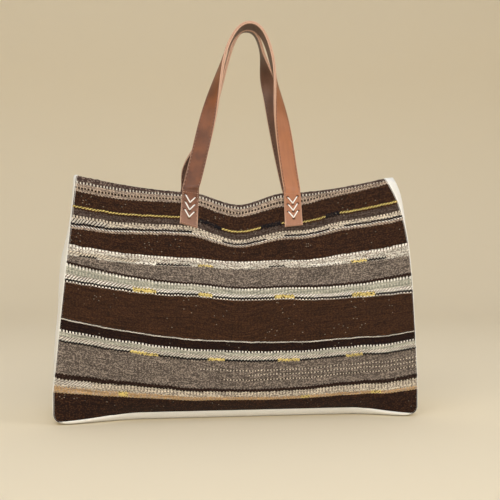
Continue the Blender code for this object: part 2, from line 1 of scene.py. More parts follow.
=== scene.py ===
from functools import partialmethod
import json
import math

import bmesh
import bpy
from mathutils import Matrix, Vector, noise

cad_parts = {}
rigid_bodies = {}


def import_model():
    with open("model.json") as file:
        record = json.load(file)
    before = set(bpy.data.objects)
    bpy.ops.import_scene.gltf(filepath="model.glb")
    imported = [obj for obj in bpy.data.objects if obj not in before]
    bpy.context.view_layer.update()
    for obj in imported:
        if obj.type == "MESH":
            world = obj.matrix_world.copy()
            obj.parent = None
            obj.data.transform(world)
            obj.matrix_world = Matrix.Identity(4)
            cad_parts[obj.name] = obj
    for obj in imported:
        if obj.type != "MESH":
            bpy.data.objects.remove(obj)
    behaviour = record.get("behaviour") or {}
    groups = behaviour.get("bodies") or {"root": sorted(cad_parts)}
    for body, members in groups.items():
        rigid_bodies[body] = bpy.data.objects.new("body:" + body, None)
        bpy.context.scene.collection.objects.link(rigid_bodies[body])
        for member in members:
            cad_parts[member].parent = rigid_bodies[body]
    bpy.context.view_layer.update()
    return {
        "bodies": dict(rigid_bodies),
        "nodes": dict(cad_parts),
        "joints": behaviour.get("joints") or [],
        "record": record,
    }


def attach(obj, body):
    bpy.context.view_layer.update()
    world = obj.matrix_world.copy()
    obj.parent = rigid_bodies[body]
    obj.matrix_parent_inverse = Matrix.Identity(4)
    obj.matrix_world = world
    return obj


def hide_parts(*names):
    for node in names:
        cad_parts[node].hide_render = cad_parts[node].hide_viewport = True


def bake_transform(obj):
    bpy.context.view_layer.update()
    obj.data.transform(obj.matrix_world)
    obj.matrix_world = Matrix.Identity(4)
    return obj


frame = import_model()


# The photograph's view: a camera a little below the bag's mouth and slightly to its left, level,
# and far enough away that the sides show only as thin edges.

LENS = 58.7
CAMERA_HEIGHT = 0.262
CAMERA_DISTANCE = 1.25
CAMERA_AZIMUTH = math.radians(-7)
AIM = Vector((0.015, -0.080, CAMERA_HEIGHT))


def link_object(name, data):
    item = bpy.data.objects.new(name, data)
    bpy.context.scene.collection.objects.link(item)
    return item


camera = link_object("camera", bpy.data.cameras.new("camera"))
camera.data.lens = LENS
away = Vector((math.sin(CAMERA_AZIMUTH), -math.cos(CAMERA_AZIMUTH), 0.0))
camera.location = AIM + away * CAMERA_DISTANCE
camera.rotation_euler = (-away).to_track_quat("-Z", "Y").to_euler()
bpy.context.scene.camera = camera
bpy.context.scene.view_settings.view_transform = "Standard"


# The studio: one plain pale bowl that is floor and backdrop in one, an even soft light from all
# round, and three large soft lamps.

BOWL_RADIUS = 3.2
BOWL_FILLET = 1.2
BOWL_HEIGHT = 4.0
BOWL_SEGMENTS = 96
FILLET_STEPS = 12
MERGE_DISTANCE = 0.0001
BOWL_COLOUR = (0.75, 0.655, 0.485)
FILL_COLOUR = (0.87, 0.95, 1.11)
FILL_STRENGTH = 1.12
# Each lamp: place, size, power, spread.
LAMPS = {"key_lamp": ((-1.3, -1.7, 1.9), 1.6, 18.0, 180),
         "side_lamp": ((1.9, -1.1, 1.3), 1.2, 12.0, 180),
         "low_lamp": ((0.1, -2.3, 0.60), 1.0, 4.2, 70)}


def object_from(name, shape, *materials):
    """Turns a bmesh into a smooth-shaded object made of the given materials."""
    mesh = bpy.data.meshes.new(name)
    shape.to_mesh(mesh)
    shape.free()
    mesh.shade_smooth()
    for material in materials:
        mesh.materials.append(material)
    return link_object(name, mesh)


def new_material(name, plain):
    """A new material, its surface set to the given values that are the same all over."""
    material = bpy.data.materials.new(name)
    material.use_nodes = True
    for socket, value in plain.items():
        material.node_tree.nodes["Principled BSDF"].inputs[socket].default_value = value
    return material


def make_bowl():
    flat = BOWL_RADIUS - BOWL_FILLET
    shape = bmesh.new()
    line = [shape.verts.new((0, 0, 0)), shape.verts.new((flat, 0, 0))]
    for step in range(1, FILLET_STEPS + 1):
        turn = math.radians(90) * step / FILLET_STEPS
        line.append(shape.verts.new((flat + BOWL_FILLET * math.sin(turn), 0,
                                     BOWL_FILLET * (1 - math.cos(turn)))))
    line.append(shape.verts.new((BOWL_RADIUS, 0, BOWL_HEIGHT)))
    profile = [shape.edges.new(pair) for pair in zip(line, line[1:])]
    bmesh.ops.spin(shape, geom=line + profile, axis=(0, 0, 1), cent=(0, 0, 0),
                   angle=math.radians(360), steps=BOWL_SEGMENTS, use_merge=True)
    bmesh.ops.remove_doubles(shape, verts=shape.verts[:], dist=MERGE_DISTANCE)
    paint = new_material("studio_paint", {"Base Color": (*BOWL_COLOUR, 1.0), "Roughness": 1.0,
                                          "Specular IOR Level": 0.0})
    bowl = object_from("studio_bowl", shape, paint)
    bowl.visible_shadow = False


make_bowl()
world = bpy.data.worlds.new("soft_light")
bpy.context.scene.world = world
world.use_nodes = True
fill = world.node_tree.nodes["Background"].inputs
fill["Color"].default_value = (*FILL_COLOUR, 1.0)
fill["Strength"].default_value = FILL_STRENGTH
for lamp_name, (lamp_place, lamp_size, lamp_power, lamp_spread) in LAMPS.items():
    lamp = link_object(lamp_name, bpy.data.lights.new(lamp_name, "AREA"))
    lamp.data.size = lamp_size
    lamp.data.energy = lamp_power
    lamp.data.spread = math.radians(lamp_spread)
    lamp.location = lamp_place
    lamp.rotation_euler = (AIM - Vector(lamp_place)).to_track_quat("-Z", "Y").to_euler()


# Front and back panels: two pieces of striped kilim, hand-spun wool beaten down over cotton warps.
# Each is a trapezoid that leans in from the base to the sagging mouth. It is sewn to the gusset at
# its sides and along its lower edge, which turns under in the middle.

# A point on a panel is given by across, -1 at its left edge to 1 at its right, and by the drop, the
# length of cloth from the mouth.
TOP_HALF_WIDTHS = (0.249, 0.2335)
BOTTOM_HALF_WIDTHS = (0.281, 0.2815)
RIGHT_EVEN_TAPER = 0.33
RIGHT_DRAW_IN_POWER = 6.5
BASE_HALF_DEPTH = 0.080
MOUTH_HALF_DEPTH_MIDDLE = 0.050
MOUTH_HALF_DEPTH_CORNER = 0.064
MOUTH_TAPER_POWER = 1.6
PANEL_BELLY = 0.008
BELLY_FADE = 0.6
MOUTH_CORNER_HEIGHT = 0.376
MOUTH_HANDLE_HEIGHT = 0.352
MOUTH_DIP_HEIGHT = 0.333
MOUTH_RISE_POWER = 1.6
CORNER_RADIUS = 0.014
SEAM_CORNER_HEIGHT = 0.003
SEAM_MIDDLE_HEIGHT = 0.012
CURL_LENGTH = 0.045
CURL_ANGLE = math.radians(62)
CURL_FADES = (0.46, 0.36)
LEAST_CURL = 0.001
FOOT_HALF_SPACING = 0.0795
KILIM_THICKNESS = 0.0040

# Woven bands from the mouth down: yarn, then height in mm at the left edge, in the middle and at
# the right edge. Bands under 5 mm stand proud as single lines. The last fills what is left. The
# upper bands sag with the mouth; lower down the bands are squeezed where the mouth sags.
BANDS = (
    ("selvedge_brown", 8.5, 4.0, 3.5), ("beige", 11.5, 14.1, 3.5), ("brown", 22.3, 23.0, 30.5),
    ("brown", 4.2, 3.8, 4.8), ("dark_grey", 10.8, 10.5, 11.6), ("cream", 11.0, 5.7, 7.2),
    ("black", 3.6, 2.6, 2.6), ("beige", 5.0, 3.8, 4.7), ("brown", 25.9, 35.8, 35.4),
    ("pale_cream", 17.9, 10.3, 17.4), ("grey", 9.3, 28.9, 28.6), ("dark_line", 3.2, 2.2, 4.2),
    ("green_cream", 22.5, 13.0, 21.0), ("black", 2.4, 2.7, 2.6), ("beige", 3.6, 2.4, 3.0),
    ("red_brown", 50.6, 64.3, 55.9), ("deep_brown", 3.3, 3.2, 2.8),
    ("deep_brown", 12.9, 12.1, 10.3), ("green_cream", 14.8, 12.6, 12.4), ("black", 2.5, 3.1, 2.6),
    ("grey", 46.5, 42.8, 39.7), ("dark_line", 6.6, 3.4, 5.4), ("cream", 12.9, 9.2, 14.0),
    ("tan", 9.6, 5.1, 5.0), ("dark_line", None, None, None),
)
LAST_BAND_HEIGHT = 64.0
RAISED_LINE_HEIGHT = 5.0
RAISED_LINE = 0.0007
RAISED_ROWS = 4
# Rows of the mouth's lip, as shares of the first band.
LIP_ROWS = (0.0, 0.05, 0.12, 0.22, 0.34, 0.48, 0.7, 1.0)
LAST_BAND_ROWS = 26
ROW_HEIGHT = 0.0036
PANEL_COLUMNS = 300
MILLIMETRES = 1000
# How much of the mouth's sag the bands have taken up, by the length of cloth down.
SAG_TAKEN_UP = ((0.060, 0.0), (0.105, 0.75), (0.165, 0.75), (0.230, 1.0))
# The upper and the lower bands also sway: how far they lie lower, by place across, and how much of
# it by the length of cloth down.
SWAYS = (
    (((-1.0, 0.0030), (-0.8, 0.0020), (-0.42, -0.0035), (-0.1, 0.0), (0.05, 0.0), (0.36, 0.0050),
      (0.65, -0.0030), (1.0, -0.0030)),
     ((0.0, 0.0), (0.022, 1.0), (0.080, 1.0), (0.125, 0.0))),
    (((-1.0, 0.0050), (-0.78, 0.0004), (-0.58, -0.0028), (-0.42, -0.0022), (-0.22, 0.0020),
      (0.05, 0.0036), (0.36, -0.0008), (0.54, -0.0034), (0.67, -0.0012), (0.84, 0.0044),
      (1.0, 0.0050)),
     ((0.0, 0.0), (0.185, 0.0), (0.240, 0.6), (0.290, 1.0), (0.318, 0.7), (0.345, 0.4))),
)
WAVE_HEIGHT = 0.0028
WAVE_SIZE = 7.0
WAVE_FADE = 0.05
RIPPLE_SCALE = 2.3
RIPPLE_SHARE = 0.5


def smooth(value):
    value = min(max(value, 0.0), 1.0)
    return value * value * (3 - 2 * value)


def read_curve(points, position):
    """Reads a list of places and values at one place, smoothly between its points."""
    for (low, low_value), (high, high_value) in zip(points, points[1:]):
        if position <= high:
            return low_value + (high_value - low_value) * smooth((position - low) / (high - low))
    return points[-1][1]


def curl_share(across):
    """How far the lower edge turns under: fully in the middle, not at all at the corners."""
    return smooth((1 - abs(across)) / CURL_FADES[across >= 0])


def mouth_height(across):
    handle = FOOT_HALF_SPACING / TOP_HALF_WIDTHS[0]
    outside = abs(across)
    if outside > handle:
        share = ((outside - handle) / (1 - handle)) ** MOUTH_RISE_POWER
        return MOUTH_HANDLE_HEIGHT + (MOUTH_CORNER_HEIGHT - MOUTH_HANDLE_HEIGHT) * share
    rise = MOUTH_HANDLE_HEIGHT - MOUTH_DIP_HEIGHT
    return MOUTH_DIP_HEIGHT + rise * smooth(outside / handle)


def curl_turn(across):
    return max(CURL_ANGLE * curl_share(across), LEAST_CURL)


def curl_top(across):
    seam = SEAM_CORNER_HEIGHT + (SEAM_MIDDLE_HEIGHT - SEAM_CORNER_HEIGHT) * curl_share(across)
    return seam + CURL_LENGTH * math.sin(curl_turn(across)) / curl_turn(across)


def panel_drop(across):
    return mouth_height(across) - curl_top(across) + CURL_LENGTH


def edge_half_width(across, share, height):
    """Half width at one height. The right edge is drawn in near the mouth."""
    taper = share
    if across >= 0:
        taper = RIGHT_EVEN_TAPER * share + (1 - RIGHT_EVEN_TAPER) * share ** RIGHT_DRAW_IN_POWER
    bottom = BOTTOM_HALF_WIDTHS[across >= 0]
    half = bottom + (TOP_HALF_WIDTHS[across >= 0] - bottom) * taper
    above = height - SEAM_CORNER_HEIGHT
    if above < CORNER_RADIUS:
        below_centre = CORNER_RADIUS - max(above, 0.0)
        half -= CORNER_RADIUS - math.sqrt(max(CORNER_RADIUS ** 2 - below_centre ** 2, 0.0))
    return half


def face_point(across, drop):
    """A point on the outer face of the front panel, without its small waves."""
    flat = panel_drop(across) - CURL_LENGTH
    if drop <= flat:
        share = 1 - drop / flat
        height = curl_top(across) + flat * share
        mouth = MOUTH_HALF_DEPTH_CORNER - MOUTH_HALF_DEPTH_MIDDLE
        mouth = MOUTH_HALF_DEPTH_MIDDLE + mouth * abs(across)
        taper = (BASE_HALF_DEPTH - mouth) * max(share, 0.0) ** MOUTH_TAPER_POWER
        belly = PANEL_BELLY * math.sin(math.pi * share) * (1 - BELLY_FADE * across * across)
        depth = BASE_HALF_DEPTH - taper + belly
        corner_share = share
        corner_height = height
    else:
        radius = CURL_LENGTH / curl_turn(across)
        angle = (drop - flat) / radius
        height = curl_top(across) - radius * math.sin(angle)
        depth = BASE_HALF_DEPTH - radius * (1 - math.cos(angle))
        corner_share = 0.0
        corner_height = SEAM_CORNER_HEIGHT + panel_drop(across) - drop
    return Vector((across * edge_half_width(across, corner_share, corner_height), -depth, height))


def face_normal(across, drop):
    """Outward direction of the front panel."""
    step_across = 0.004
    step_drop = 0.0005
    along = face_point(across + step_across, drop) - face_point(across - step_across, drop)
    down = face_point(across, drop + step_drop) - face_point(across, drop - step_drop)
    return down.cross(along).normalized()


def band_height(band, across):
    _, left, middle, right = band
    height = middle + (right - left) / 2 * across + ((left + right) / 2 - middle) * across ** 2
    return height / MILLIMETRES


def band_rows():
    """Rows of the cloth down a panel: the band, the share of that band, and its relief."""
    rows = [(0, share, 0.0) for share in LIP_ROWS]
    for index, band in enumerate(BANDS[1:-1], 1):
        raised = band[2] < RAISED_LINE_HEIGHT
        steps = RAISED_ROWS if raised else math.ceil(band[2] / MILLIMETRES / ROW_HEIGHT)
        for step in range(1, steps + 1):
            relief = RAISED_LINE * math.sin(math.pi * step / steps) if raised else 0.0
            rows.append((index, step / steps, relief))
    last = len(BANDS) - 1
    rows.extend((last, step / LAST_BAND_ROWS, 0.0) for step in range(1, LAST_BAND_ROWS + 1))
    return rows


ROWS = band_rows()
BAND_TOPS = [sum(band[2] for band in BANDS[:index]) for index in range(len(BANDS))]


def band_top(index, across):
    """Length of cloth from the mouth to the top of a band."""
    if index == len(BANDS):
        return panel_drop(across)
    heights = sum(band_height(band, across) for band in BANDS[:index])
    sag = max(MOUTH_HANDLE_HEIGHT - mouth_height(across), 0.0)
    sway = sum(read_curve(curve, across) * read_curve(share, heights) for curve, share in SWAYS)
    return heights - sag * read_curve(SAG_TAKEN_UP, heights) + sway


def row_place(row, across):
    """Length of cloth down to a row, and where that row lies in the nominal stripe, in mm."""
    index, share, _ = row
    above = band_top(index, across)
    drop = above + (band_top(index + 1, across) - above) * share
    return drop, BAND_TOPS[index] + (BANDS[index][2] or LAST_BAND_HEIGHT) * share


def waves(point):
    """Small unevenness of the cloth."""
    ripple = RIPPLE_SHARE * noise.noise(point * WAVE_SIZE * RIPPLE_SCALE)
    return WAVE_HEIGHT * (noise.noise(point * WAVE_SIZE) + ripple)


def double_sheet(columns, rows, place, layers=(), edge_material=0):
    """A closed sheet: a grid and its extruded copy, each corner put where place says.

    Place takes the column, the row and whether the corner is on the outer face, and gives the
    point and one vector for each named layer. The cut edges all round take the edge material.
    """
    sheet = bmesh.new()
    stores = [sheet.verts.layers.float_vector.new(name) for name in layers]
    bmesh.ops.create_grid(sheet, x_segments=columns, y_segments=rows, size=0.5)
    inner = list(sheet.verts)
    grown = bmesh.ops.extrude_face_region(sheet, geom=sheet.faces[:])["geom"]
    outer = [item for item in grown if isinstance(item, bmesh.types.BMVert)]
    copies = set(outer)
    for face in sheet.faces:
        if len(copies.intersection(face.verts)) not in (0, len(face.verts)):
            face.material_index = edge_material
    for verts, on_outer in ((inner, False), (outer, True)):
        for vert in verts:
            column = round((vert.co.x + 0.5) * columns)
            row = round((0.5 - vert.co.y) * rows)
            point, *values = place(column, row, on_outer)
            vert.co = point
            for store, value in zip(stores, values):
                vert[store] = value
    if sheet.calc_volume(signed=True) < 0:
        bmesh.ops.reverse_faces(sheet, faces=sheet.faces[:])
    return sheet


class Field:
    """A value that varies over a surface. Sums, products and comparisons add Math nodes."""

    def __init__(self, tree, socket=None):
        self.tree = tree
        self.socket = socket

    def node(self, kind, settings=None, inputs=None, output=0):
        """Adds a node: its settings first, then the values or links of its sockets."""
        made = self.tree.nodes.new(kind)
        for name, value in (settings or {}).items():
            if name == "stops":
                made.color_ramp.interpolation = "CONSTANT"
                while len(made.color_ramp.elements) < len(value):
                    made.color_ramp.elements.new(1.0)
                for stop, (place, colour) in zip(made.color_ramp.elements, value):
                    stop.position = place
                    stop.color = (*colour, 1.0)
            else:
                setattr(made, name, value)
        for name, value in (inputs or {}).items():
            if isinstance(value, Field):
                self.tree.links.new(value.socket, made.inputs[name])
            else:
                made.inputs[name].default_value = value
        return Field(self.tree, made.outputs[output])

    def math(self, operation, *others):
        return self.node("ShaderNodeMath", {"operation": operation},
                         dict(enumerate((self, *others))))

    __add__ = __radd__ = partialmethod(math, "ADD")
    __mul__ = __rmul__ = partialmethod(math, "MULTIPLY")
    __sub__ = partialmethod(math, "SUBTRACT")
    __truediv__ = partialmethod(math, "DIVIDE")
    __gt__ = partialmethod(math, "GREATER_THAN")
    __lt__ = partialmethod(math, "LESS_THAN")
    floor = partialmethod(math, "FLOOR")
    fraction = partialmethod(math, "FRACT")
    size = partialmethod(math, "ABSOLUTE")
    either = partialmethod(math, "MAXIMUM")
    root = partialmethod(math, "SQRT")

    def __rsub__(self, other):
        return self.node("ShaderNodeMath", {"operation": "SUBTRACT"}, {0: other, 1: self})

    def clamped(self):
        return self.node("ShaderNodeClamp", inputs={0: self})

    def between(self, low, high):
        return (self > low) * (self < high)

    def peak(self):
        """A triangle wave: 1 at the middle of each unit and 0 at its ends."""
        return 1 - ((self.fraction() - 0.5) * 2).size()

    def spread(self, low, high):
        """Carries a 0 to 1 value to low to high."""
        return self * (high - low) + low

    def vector(self, y=0.0, z=0.0):
        return self.node("ShaderNodeCombineXYZ", inputs={0: self, 1: y, 2: z})

    def parts(self):
        return [self.node("ShaderNodeSeparateXYZ", inputs={0: self}, output=index)
                for index in range(3)]

    def noise(self, scale, detail=2.0, output=0):
        return self.node("ShaderNodeTexNoise", {"noise_dimensions": "3D"},
                         {"Vector": self, "Scale": scale, "Detail": detail}, output)

    def chances(self):
        """Three random values for each whole-number cell."""
        return self.node("ShaderNodeTexWhiteNoise", {"noise_dimensions": "3D"},
                         {"Vector": self}, "Color").parts()

    def blended(self, first, second):
        """A colour between two, this field being the share of the second."""
        return self.node("ShaderNodeMix", {"data_type": "RGBA"},
                         {0: self, 6: first, 7: second}, 2)

    def tinted(self, colour):
        """Multiplies a colour by this field."""
        return self.node("ShaderNodeVectorMath", {"operation": "SCALE"}, {0: colour, "Scale": self})

    def bump(self, distance, strength=1.0):
        return self.node("ShaderNodeBump", inputs={"Height": self, "Distance": distance,
                                                   "Strength": strength})


def colour_of(red, green, blue):
    """A colour given by its 0 to 255 screen values, as the linear colour that shaders take."""
    linear = [((value / 255 + 0.055) / 1.055) ** 2.4 if value > 10 else value / 255 / 12.92
              for value in (red, green, blue)]
    return (*linear, 1.0)


def start_material(name, attribute, plain):
    """A new material, and a field that reads the named attribute of the mesh."""
    material = new_material(name, plain)
    return material, Field(material.node_tree).node(
        "ShaderNodeAttribute", {"attribute_name": attribute}, output="Vector")


def finish_material(material, colour, roughness, bump):
    surface = material.node_tree.nodes["Principled BSDF"]
    for socket, field in (("Base Color", colour), ("Roughness", roughness), ("Normal", bump)):
        material.node_tree.links.new(field.socket, surface.inputs[socket])
    return material


# The weave, in mm. Each weft shows as a row of small grains, and two colours woven turn about make
# combs and saw-toothed edges.
WARP_PAIR = 4.9
WEFT = 1.2
TOOTH_DEPTH = 1.8
CLOTH_HEIGHT = BAND_TOPS[-1] + LAST_BAND_HEIGHT
# How far the bands' edges, the warps, the wefts and the combs' ends stray.
SLOW_SCALE = 0.02
MIDDLING_SCALE = 0.09
MIDDLING_STRETCH = 0.3
EDGE_WANDER = 2.0
EDGE_RIPPLE = 2.0
WARP_WANDER = 1.4
WEFT_WANDER = 3
COMB_FRAY = 12
GRAINS_PER_PAIR = 3
GRAIN_STAGGER = 0.5
# Broken picks in a dash, by their share, and stray flecks of cream: how rare, where and how strong.
BROKEN_SHARE = 0.16
FLECK_ABOVE = 0.988
FLECKED_ABOVE = 0.53
FLECK_STRENGTH = 0.3
# How far picks and streaks darken and lighten the yarn, and how much painted shading rounds each
# grain and darkens the gaps between the warps.
PICK_SHADES = (0.74, 1.26)
STREAK_STRETCH = (0.02, 0.5)
STREAK_SHADES = (0.0, 2.0)
GRAIN_PAINTED_SHADES = (0.7, 1.2)
WARP_GAP_PAINTED_SHADES = (0.92, 1.06)
WOOL_ROUGHNESS = (0.85, 1.0)
WEAVE_RELIEF = 0.0008
STREAK_RELIEF = 0.6
# Yarns: the screen colour, then the second yarn worked in with it in its bands and that one's
# share of the picks.
YARNS = {
    "selvedge_brown": ((70, 54, 49), "warm_grey", 0.25),
    "beige": ((174, 155, 136), "warm_grey", 0.36),
    "brown": ((43, 25, 14), "russet", 0.35),
    "dark_grey": ((84, 71, 64), "umber", 0.45),
    "cream": ((206, 194, 174), "fawn", 0.40),
    "black": ((17, 15, 19), "umber", 0.12),
    "pale_cream": ((208, 201, 188), "fawn", 0.36),
    "grey": ((91, 81, 74), "fawn", 0.42),
    "dark_line": ((38, 21, 13), "russet", 0.25),
    "green_cream": ((178, 174, 158), "sage", 0.32),
    "red_brown": ((50, 31, 18), "russet", 0.45),
    "deep_brown": ((27, 12, 9), "brown", 0.35),
    "tan": ((184, 150, 108), "beige", 0.25),
    "yellow": ((214, 191, 116),),
    "white": ((236, 230, 220),),
    "sage": ((146, 146, 132),),
    "warm_grey": ((126, 110, 100),),
    "fawn": ((140, 127, 115),),
    "russet": ((68, 42, 25),),
    "umber": ((56, 42, 35),),
}
YARN_COLOURS = {yarn: colour_of(*row[0]) for yarn, row in YARNS.items()}
# Combs, where two yarns change pick by pick: band, share of the band from and to, dark and light
# yarn, share of the dark, slant of the teeth, and the span across in mm if it isn't the full width.
COMBS = (
    (1, 0.00, 0.22, "selvedge_brown", "pale_cream", 0.58, 0.0),
    (1, 0.58, 0.80, "brown", "beige", 0.62, 0.0),
    (3, 0.15, 0.80, "brown", "yellow", 0.38, 0.35),
    (5, 0.00, 0.30, "dark_grey", "cream", 0.45, 0.0),
    (5, 0.45, 1.00, "dark_grey", "pale_cream", 0.42, 0.30, -300, -195),
    (7, 0.15, 0.60, "umber", "white", 0.45, -0.30),
    (9, 0.00, 0.20, "fawn", "white", 0.40, 0.0),
    (9, 0.55, 0.90, "fawn", "cream", 0.45, 0.30, -300, -150),
    (12, 0.00, 0.20, "sage", "white", 0.45, 0.0),
    (12, 0.40, 0.60, "sage", "green_cream", 0.55, 0.0),
    (12, 0.70, 1.00, "warm_grey", "white", 0.50, 0.32, -300, -150),
    (12, 0.72, 1.00, "fawn", "white", 0.45, 0.32, -150, 300),
    (14, 0.25, 0.85, "brown", "white", 0.50, 0.0),
    (16, 0.20, 0.75, "deep_brown", "pale_cream", 0.18, 0.6),
    (18, 0.00, 0.20, "deep_brown", "white", 0.50, 0.0),
    (18, 0.60, 1.00, "warm_grey", "pale_cream", 0.40, 0.30),
    (20, 0.30, 0.34, "grey", "cream", 0.60, 0.0, -60, 300),
    (20, 0.46, 0.50, "grey", "cream", 0.60, 0.0, 20, 300),
    (20, 0.64, 0.68, "umber", "cream", 0.60, 0.0, -20, 300),
    (22, 0.15, 0.80, "warm_grey", "pale_cream", 0.32, 0.35, -300, -215),
    (22, 0.30, 0.60, "fawn", "cream", 0.45, 0.0, -215, 300),
)
# Short dashes woven into the lines: band, share from and to, yarn, spans across in mm.
DASHES = (
    (3, -0.3, 1.3, "black", ((-64, -27), (34, 67), (136, 159))),
    (6, -0.1, 1.1, "cream", ((-73, -27), (42, 70), (142, 165))),
    (9, 0.84, 1.06, "black", ((-243, -217), (-128, -76), (45, 70), (201, 231))),
    (9, 0.80, 1.05, "white", ((-160, -128), (112, 160))),
    (9, 0.80, 1.10, "yellow", ((-65, -41), (175, 200))),
    (13, -0.7, 1.3, "yellow", ((-163, -128), (-64, -43), (53, 84), (175, 212))),
    (11, -0.25, 1.15, "dark_line", ((-300, 300),)),
    (21, -0.2, 1.25, "dark_line", ((-300, 300),)),
    (19, -0.2, 1.2, "yellow", ((-167, -125), (-50, -24), (58, 92), (165, 192))),
    (23, 0.00, 1.0, "yellow", ((-184, -170), (94, 109), (206, 222))),
)


def inside_band(place, band, low, high):
    return place.between(*[BAND_TOPS[band] + share * BANDS[band][2] for share in (low, high)])


def band_ramp(place, values):
    """A ramp that holds one value for each band."""
    stops = [(top / CLOTH_HEIGHT, value) for top, value in zip(BAND_TOPS, values)]
    return place.node("ShaderNodeValToRGB", {"stops": stops}, {0: place / CLOTH_HEIGHT})


def make_kilim():
    material, cloth = start_material("kilim_weave", "cloth",
                                     {"Sheen Weight": 0.03, "Specular IOR Level": 0.15})
    across, down, stripe = [part * MILLIMETRES for part in cloth.parts()]
    slow = across.vector(stripe).noise(SLOW_SCALE, detail=3.0)
    middling = across.vector(stripe * MIDDLING_STRETCH).noise(MIDDLING_SCALE, detail=1.0)
    straight = stripe + (slow - 0.5) * EDGE_WANDER + (middling - 0.5) * EDGE_RIPPLE
    warp = across / WARP_PAIR + slow * WARP_WANDER
    edge = straight + (warp.peak() - 0.5) * TOOTH_DEPTH
    weft = down / WEFT + slow * WEFT_WANDER
    row = weft.floor()
    grain = warp * GRAINS_PER_PAIR + row * GRAIN_STAGGER
    pick, tone, speck = grain.floor().vector(row).chances()
    yarns = [YARNS[band[0]] for band in BANDS]
    second = band_ramp(edge, [YARN_COLOURS[yarn][:3] for _, yarn, _ in yarns])
    share = band_ramp(edge, [(share,) * 3 for _, _, share in yarns])
    colour = (pick < share).blended(band_ramp(edge, [YARN_COLOURS[band[0]][:3] for band in BANDS]),
                                    second)
    for band, low, high, dark, light, duty, slant, *span in COMBS:
        inside = inside_band(straight, band, low, high)
        if span:
            inside = inside * (across + tone * COMB_FRAY).between(*span)
        teeth = (warp + straight * slant).peak() < duty
        colour = inside.blended(colour, teeth.blended(YARN_COLOURS[light], YARN_COLOURS[dark]))
    for band, low, high, yarn, spans in DASHES:
        inside = inside_band(edge, band, low, high)
        run = None
        for left, right in spans:
            reach = across.between(left, right)
            run = reach if run is None else run.either(reach)
        broken = YARN_COLOURS["dark_line" if yarn == "yellow" else "umber"]
        dash = (pick < BROKEN_SHARE).blended(YARN_COLOURS[yarn], broken)
        colour = (inside * run).blended(colour, dash)
    fleck = (speck > FLECK_ABOVE) * (slow > FLECKED_ABOVE) * FLECK_STRENGTH
    colour = fleck.blended(colour, YARN_COLOURS["cream"])
    lump = (grain.peak() * weft.peak()).root()
    streak = (across * STREAK_STRETCH[0]).vector(down * STREAK_STRETCH[1]).noise(1.0, detail=3.0)
    # Painted shading: each grain is lighter at its middle and darker at its rim, and the yarn is
    # darker between the warps.
    shade = tone.spread(*PICK_SHADES) * streak.spread(*STREAK_SHADES) * lump.spread(*GRAIN_PAINTED_SHADES)
    colour = (shade * warp.peak().spread(*WARP_GAP_PAINTED_SHADES)).tinted(colour)
    relief = (lump + streak * STREAK_RELIEF).bump(WEAVE_RELIEF, strength=0.8)
    return finish_material(material, colour, tone.spread(*WOOL_ROUGHNESS), relief)


KILIM = make_kilim()
# Each panel is rolled over a little along its seams and bound over at the mouth into a thin
# rounded lip. The columns of its mesh crowd towards its sides.
SEAM_ROLL = 0.0028
LIP_ROLL = 0.0019
LIP_WEAR = 0.0010
LIP_WEAR_SCALE = 160
EDGE_CROWDING = 0.22


def roll(distance, radius):
    """How far a rounded edge lies back from a flat face, by the distance from its edge."""
    if distance >= radius:
        return 0.0
    return radius - math.sqrt(max(radius ** 2 - (radius - distance) ** 2, 0.0))


def crowded_place(column, columns):
    place = -1 + 2 * column / columns
    return place * (1 + EDGE_CROWDING - EDGE_CROWDING * place * place)


def panel_corner(column, row, on_outer):
    across = crowded_place(column, PANEL_COLUMNS)
    drop, stripe = row_place(ROWS[row], across)
    base = face_point(across, drop)
    from_side = (1 - abs(across)) * BOTTOM_HALF_WIDTHS[0]
    from_base = panel_drop(across) - drop
    fade = smooth(from_side / WAVE_FADE) * smooth(from_base / WAVE_FADE)
    lift = waves(base) * fade - roll(from_side, SEAM_ROLL) - roll(from_base, SEAM_ROLL)
    lip = roll(drop, LIP_ROLL)
    lift += ROWS[row][2] - lip if on_outer else lip - KILIM_THICKNESS
    wear = LIP_WEAR * noise.noise(base * LIP_WEAR_SCALE) if row == 0 else 0.0
    point = base + face_normal(across, drop) * lift + Vector((0, 0, wear))
    return point, Vector((base.x, drop, stripe / MILLIMETRES))


def make_panel(name, node, facing):
    def place(column, row, on_outer):
        point, cloth = panel_corner(column, row, on_outer)
        point.y *= facing
        return point, cloth

    sheet = double_sheet(PANEL_COLUMNS, len(ROWS) - 1, place, ["cloth"])
    panel = object_from(name, sheet, KILIM)
    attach(panel, "root")
    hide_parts(node)


make_panel("front_kilim", "front_panel", 1)
make_panel("back_kilim", "back_panel", -1)


# Gusset: one long strip of heavy off-white cotton, down one side, under the bag and up the other.
# It is sewn to both panels, bellies out a little at the sides and lies flat on the floor.

GUSSET_THICKNESS = 0.0018
GUSSET_ROLL = 0.0024
GUSSET_TURN = 0.015
LEFT_SWELL = ((0.003, 0.003), (0.030, 0.006), (0.150, 0.010), (0.240, 0.014), (0.330, 0.005),
              (0.376, 0.007))
RIGHT_SWELL = ((0.003, 0.003), (0.030, 0.005), (0.150, 0.008), (0.280, 0.012), (0.376, 0.027))
SIDE_STATIONS = 90
BASE_STATIONS = 140
GUSSET_COLUMNS = 48
SIDE_CROWDING = 2.2
GUSSET_PITCH = 0.9
GUSSET_RELIEF = 0.0004
GUSSET_COLOURS = (colour_of(248, 246, 240), colour_of(226, 221, 208))
# How far the sides' swelling follows the lean of the seam, and how much of the waves' pattern lies
# across the gusset.
SWELL_TILT = 0.3
GUSSET_WAVE_SPAN = 0.2
# Plain cotton: how the painted shading of its threads and its slubs darken and lighten it, how much
# of the painted shadow colour lies in its large blotches, and its roughness.
COTTON_GAP_PAINTED_SHADES = (0.86, 1.04)
SLUB_SHADES = (0.94, 1.03)
SLUB_SCALE = 0.8
SLUB_STRETCH = 0.06
BLOTCH_SCALE = 9.0
SHADOW_SHARES = (0.0, 0.5)
COTTON_ROUGHNESS = (0.85, 0.95)


